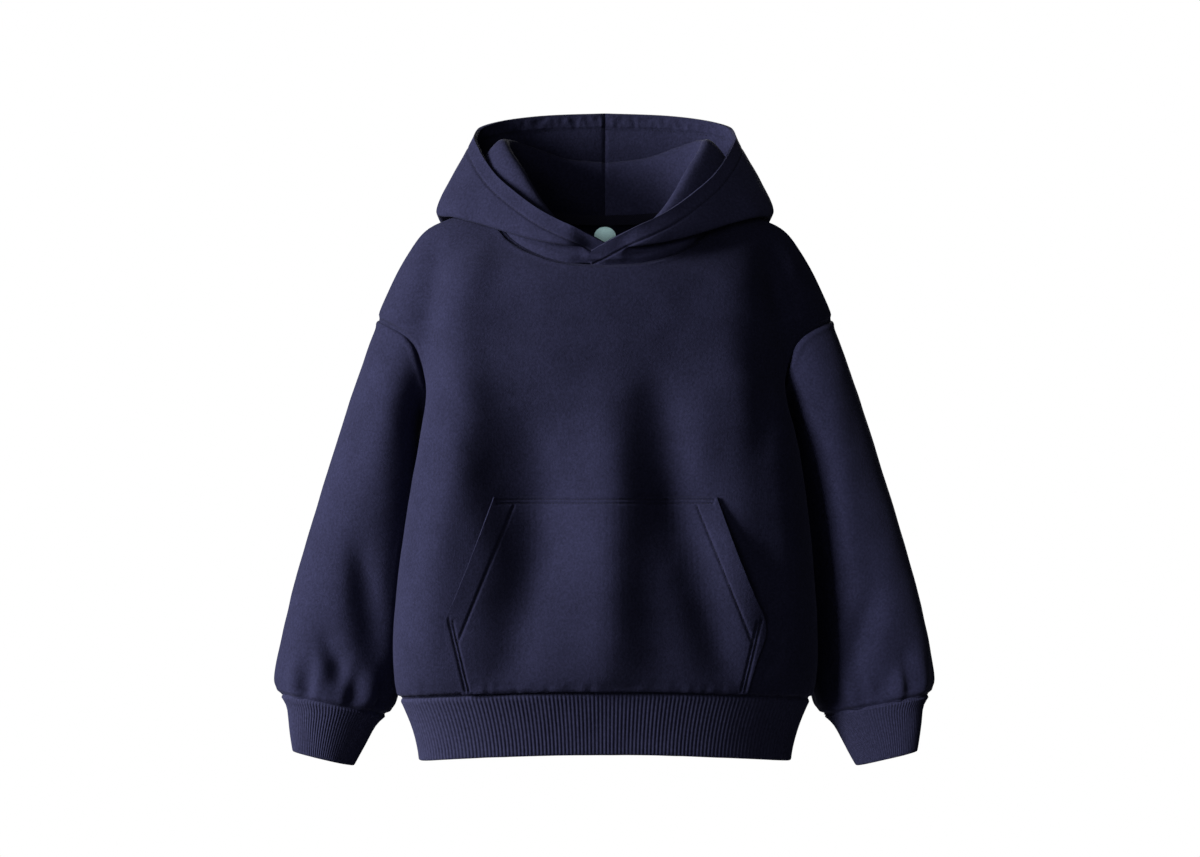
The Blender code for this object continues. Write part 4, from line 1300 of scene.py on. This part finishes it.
def add_stitches(bm, places):
    """Sew a row of stitches along places, each a point and the way the cloth faces."""
    points = [co for co, _ in places]
    reached = running_lengths(points)
    long, gap, thick = size("stitch"), size("stitch_gap"), size("thread")
    count = int(reached[-1] / (long + gap))
    for k in range(count):
        way = (k + 0.5) * reached[-1] / count
        low = min(bisect_right(reached, way) - 1, len(points) - 2)
        t = (way - reached[low]) / max(reached[low + 1] - reached[low], 1e-9)
        co = points[low].lerp(points[low + 1], t)
        out = places[low][1].lerp(places[low + 1][1], t).normalized()
        run = (points[low + 1] - points[low]).normalized()
        over = out.cross(run).normalized()
        out = run.cross(over)
        turn = Matrix((run, over, out)).transposed().to_4x4()
        shape = Matrix.Diagonal((long / 2, thick / 2, thick * THREAD_FLAT, 1.0))
        bmesh.ops.create_icosphere(bm, subdivisions=1, radius=1.0,
                                   matrix=Matrix.Translation(co) @ turn @ shape)


def sew(name, lines):
    """One piece of thread with all the rows of stitches given."""
    bm = bmesh.new()
    for places in lines:
        add_stitches(bm, places)
    return finish_piece(name, bm, thread_finish())


class HOODIE_OT_panels(bpy.types.Operator):
    """Make the front and back panels"""

    bl_idname = "hoodie.panels"
    bl_label = "Body panels"

    def execute(self, context):
        rows = []
        for face, seed in (("front", 3.0), ("back", 11.0)):
            cloth = panel_sheet(face)
            cloth.draw_seams(seed)

            def pucker(way, along, seed=seed):
                wave = noise.noise(Vector((along / 5.5, way / 14, seed)))
                wave *= PUCKER * ramp(0, 2.5, way) * (1 - ramp(6, PUCKER_REACH, way))
                return wave + groove(way - HEM_ROW)

            cloth.press(cloth.by_edge("bottom", PUCKER_REACH, pucker))
            cloth.press(cloth.by_edge("top", EDGE_REACH, lambda way, along: groove(way - NECK_ROW)))
            rows.append(cloth.inset("top", NECK_ROW))
            rows.append(cloth.inset("bottom", HEM_ROW))
            finish_fleece(face + "_panel_fleece", cloth, face + "_panel")
        sew("body_stitches", rows)
        return {"FINISHED"}


class HOODIE_OT_sleeves(bpy.types.Operator):
    """Make both sleeves, gathered into their cuffs"""

    bl_idname = "hoodie.sleeves"
    bl_label = "Sleeves"

    def execute(self, context):
        for side, word in SIDES:
            cloth = sleeve_sheet(side)
            cloth.draw_seams(20.0 + side)
            finish_fleece(f"sleeve_{word}_fleece", cloth, f"sleeve_{word}")
        return {"FINISHED"}


class HOODIE_OT_bands(bpy.types.Operator):
    """Make the ribbed hem band and cuffs"""

    bl_idname = "hoodie.bands"
    bl_label = "Ribbed hem band and cuffs"

    def execute(self, context):
        finish_band("hem_band_rib", band(hem_point, size("hem_rib"), 1.0), 31.0, "hem_band")
        for side, word in SIDES:
            def cuff_point(angle, down, side=side):
                co = oval_section("cuff", down, -side * angle)
                return Vector((co.x * side, co.y, co.z))

            cloth = band(cuff_point, size("cuff_rib"), 5.0 + side)
            finish_band(f"cuff_{word}_rib", cloth, 36.0 + side, f"cuff_{word}")
        return {"FINISHED"}


class HOODIE_OT_pocket(bpy.types.Operator):
    """Make the kangaroo pocket and its top stitching"""

    bl_idname = "hoodie.pocket"
    bl_label = "Kangaroo pocket"

    def execute(self, context):
        cloth = pocket_sheet()
        rows = [(side * x1, z1, side * x2, z2) for x1, z1, x2, z2 in POCKET_ROWS_SEWN for side in (-1, 1)]
        cloth.press(cloth.by_lines(rows, 3.0, groove))
        finish_fleece("pocket_fleece", cloth, "pocket")
        tree = tree_of("pocket_fleece")

        def line(x1, z1, x2, z2):
            count = max(round(math.hypot(x2 - x1, z2 - z1)), 2)
            return [laid_on(tree, mix(x1, x2, k / count), mix(z1, z2, k / count), 1.0)
                    for k in range(count + 1)]

        sew("pocket_stitches", [line(*row) for row in rows])
        return {"FINISHED"}


class HOODIE_OT_hood(bpy.types.Operator):
    """Make the two halves of the hood with their turned hem"""

    bl_idname = "hoodie.hood"
    bl_label = "Hood"

    def execute(self, context):
        wall = size("wall")
        lines = []
        for side, word in SIDES:
            cloth = hood_sheet(side)
            cloth.draw_seams(40.0 + side, uneven=HOOD_SWELL)
            cloth.press(cloth.by_edge("top", FACING + 3, lambda way, along: groove(way - FACING)))
            centre = "right" if side > 0 else "left"
            cloth.press(cloth.by_edge(centre, EDGE_REACH, centre_groove(CENTRE_DIP)))
            outside = cloth.inset("top", FACING)
            lines.append(outside)
            deep = wall + FACING_STEP - 2 * GROOVE_DEPTH
            lines.append([(co - out * deep, -out) for co, out in outside])

            def turned_hem(way, along, side=side):
                doubled = FACING_STEP * (1 - ramp(FACING - 0.2, FACING + 1.4, way))
                wave = noise.noise(Vector((along / 4.2, way / 9, side)))
                wave *= HEM_PUCKER * ramp(0.5, 4, way) * (1 - ramp(FACING - 3, FACING + 1, way))
                return doubled + wave + 2 * groove(way - FACING)

            extra = cloth.by_edge("top", FACING + 3, turned_hem)
            inside = cloth.by_edge(centre, EDGE_REACH, centre_groove(CENTRE_DIP_INSIDE))
            for vert, taken in inside.items():
                extra[vert] = extra.get(vert, 0.0) + taken
            finish_fleece(f"hood_{word}_fleece", cloth, f"hood_{word}", extra)
        sew("hood_stitches", lines)
        return {"FINISHED"}


def neck_inward(angle):
    """Level direction from the back neck seam towards the neck's middle."""
    run = neck_point(angle + 1) - neck_point(angle - 1)
    return -outward_level(run)


class HOODIE_OT_neck(bpy.types.Operator):
    """Make the neck tape and the blank label"""

    bl_idname = "hoodie.neck"
    bl_label = "Neck tape and label"

    def execute(self, context):
        wall = size("wall")

        def place(u, v):
            angle = mix(180 - TAPE_SPREAD, 180 + TAPE_SPREAD, u)
            mirrored = angle if angle <= 180 else TUBE_TURN - angle
            co = neck_point(mirrored) + neck_inward(min(mirrored, 179.0)) * (wall + TAPE_LAY)
            co.x = math.copysign(co.x, 180 - angle)
            co.z += TAPE_HEIGHT * (v - 0.5)
            return co

        cloth = Cloth(TAPE_COLUMNS, TAPE_ROWS, place)
        cloth.close(TAPE_THICK)
        finish_piece("neck_tape_twill", cloth.bm, tape_finish(), ["neck_tape"])

        tree = tree_of("back_panel_fleece")
        bm = bmesh.new()
        bm.loops.layers.uv.new("cloth")
        bmesh.ops.create_circle(bm, cap_ends=True, cap_tris=True, segments=LABEL_SIDES, radius=0.5)
        for vert in bm.verts:
            co, out = laid_on(tree, -vert.co.x * LABEL_WIDTH, LABEL_CENTRE + vert.co.y * LABEL_HEIGHT, -1.0)
            vert.co = co - out * (wall + LABEL_LAY)
        bm.normal_update()
        bmesh.ops.solidify(bm, geom=bm.faces[:], thickness=LABEL_THICK)
        bmesh.ops.recalc_face_normals(bm, faces=bm.faces)
        finish_piece("label_satin", bm, label_finish(), ["neck_label"])
        return {"FINISHED"}


# Pieces seen from behind, which the back light reaches
BACK_PIECES = ("back_panel_fleece", "hem_band_rib",
               *(name for name in CUTS if "_left_" in name or "_right_" in name))


def aim(thing, place, target):
    """Put a lamp or camera at a place and turn it to a target."""
    place, target = Vector(place), Vector(target)
    turn = (target - place).to_track_quat("-Z", "Y").to_matrix().to_4x4()
    thing.matrix_world = Matrix.Translation(place) @ turn


class HOODIE_OT_stage(bpy.types.Operator):
    """Make the pale floor, the soft light and the camera"""

    bl_idname = "hoodie.stage"
    bl_label = "Studio stage"

    def execute(self, context):
        scene = context.scene
        studio = scene.hoodie_studio
        middle = Vector(VIEW_MIDDLE)

        bm = bmesh.new()
        bmesh.ops.create_grid(bm, x_segments=8, y_segments=8, size=1.0)
        bmesh.ops.scale(bm, vec=FLOOR_HALF, verts=bm.verts)
        bmesh.ops.translate(bm, vec=FLOOR_MIDDLE, verts=bm.verts)
        mesh = bpy.data.meshes.new("studio_floor")
        bm.to_mesh(mesh)
        bm.free()
        floor = bpy.data.objects.new("studio_floor", mesh)
        scene.collection.objects.link(floor)
        made = Finish("studio_paper", roughness=0.9, specular_ior_level=0.1)
        grain = made.noise(made.object_place(), 40.0, 3.0, 0.5)
        made.shade(grain, PAPER, (0.3, 0.0), (0.7, 0.02326))
        mesh.materials.append(made.material)
        floor.visible_diffuse = False

        world = bpy.data.worlds.new("white_surround")
        scene.world = world
        world.use_nodes = True
        tree = world.node_tree
        background = tree.nodes["Background"]
        background.inputs["Color"].default_value = (1, 1, 1, 1)
        path = tree.nodes.new("ShaderNodeLightPath")
        strength = tree.nodes.new("ShaderNodeMix")
        strength.inputs[2].default_value = studio.surround
        strength.inputs[3].default_value = 1.0
        tree.links.new(path.outputs["Is Camera Ray"], strength.inputs[0])
        tree.links.new(strength.outputs[0], background.inputs["Strength"])

        # Each lamp: its power, its width in metres, how far it is turned to the viewer's left of the front
        # and how high it stands, in degrees, and the only pieces it lights, or all where none is named.
        for name, power, wide, turn, rise, lit in (
            ("key_light", studio.key, 1.2, 72.0, 13.0, ()),
            ("front_light", studio.front, 1.4, 22.0, 10.0, ()),
            ("sleeve_light", studio.sleeve, 0.7, 24.0, 10.0, ("sleeve_right_fleece", "cuff_right_rib")),
            ("back_light", studio.back, 1.0, 184.0, 24.0, BACK_PIECES),
            ("hood_light", studio.hood, 0.7, 8.0, 14.0, ("hood_right_fleece",)),
            ("label_light", studio.label, 0.3, 0.0, 1.0, ("label_satin",)),
        ):
            turn, rise = math.radians(turn), math.radians(rise)
            lamp = bpy.data.lights.new(name, "AREA")
            lamp.energy = power
            lamp.size = wide
            holder = bpy.data.objects.new(name, lamp)
            scene.collection.objects.link(holder)
            way = Vector((-math.sin(turn) * math.cos(rise), -math.cos(turn) * math.cos(rise),
                          math.sin(rise)))
            aim(holder, middle + way * LAMP_DISTANCE, middle)
            holder.visible_camera = False
            if lit:
                holder.light_linking.receiver_collection = bpy.data.collections.new(name)
                for piece in lit:
                    holder.light_linking.receiver_collection.objects.link(bpy.data.objects[piece])

        camera = bpy.data.cameras.new("camera")
        camera.sensor_width = SENSOR
        camera.lens = SENSOR * studio.distance / VIEW_WIDTH
        camera.clip_end = 100.0
        holder = bpy.data.objects.new("camera", camera)
        scene.collection.objects.link(holder)
        aim(holder, middle + Vector((0, -studio.distance, 0)), middle)
        scene.camera = holder
        scene.view_settings.view_transform = "Standard"
        return {"FINISHED"}


class HOODIE_PT_sidebar(bpy.types.Panel):
    """Sizes, colours and the steps that make the hoodie"""

    bl_label = "Toddler hoodie"
    bl_space_type = "VIEW_3D"
    bl_region_type = "UI"
    bl_category = "Hoodie"

    def draw(self, context):
        for group in ("hoodie_sizes", "hoodie_colours", "hoodie_studio"):
            box = self.layout.box()
            settings = getattr(context.scene, group)
            for name in settings.bl_rna.properties.keys():
                if name not in ("rna_type", "name"):
                    box.prop(settings, name)
        for operator in OPERATORS:
            self.layout.operator(operator.bl_idname)


OPERATORS = (
    HOODIE_OT_panels,
    HOODIE_OT_sleeves,
    HOODIE_OT_bands,
    HOODIE_OT_pocket,
    HOODIE_OT_hood,
    HOODIE_OT_neck,
    HOODIE_OT_stage,
)
GROUPS = (
    ("hoodie_sizes", HoodieSizes),
    ("hoodie_colours", HoodieColours),
    ("hoodie_studio", HoodieStudio),
)


def register():
    """Make the classes and the scene's settings known to Blender."""
    for name, group in GROUPS:
        bpy.utils.register_class(group)
        setattr(bpy.types.Scene, name, PointerProperty(type=group))
    for kind in (*OPERATORS, HOODIE_PT_sidebar):
        bpy.utils.register_class(kind)


def unregister():
    """Take the classes and the settings away again."""
    for kind in reversed((*OPERATORS, HOODIE_PT_sidebar)):
        bpy.utils.unregister_class(kind)
    for name, group in reversed(GROUPS):
        delattr(bpy.types.Scene, name)
        bpy.utils.unregister_class(group)


def main():
    """Make every piece and the stage."""
    register()
    for operator in OPERATORS:
        group, name = operator.bl_idname.split(".")
        getattr(getattr(bpy.ops, group), name)()


if __name__ == "__main__":
    main()
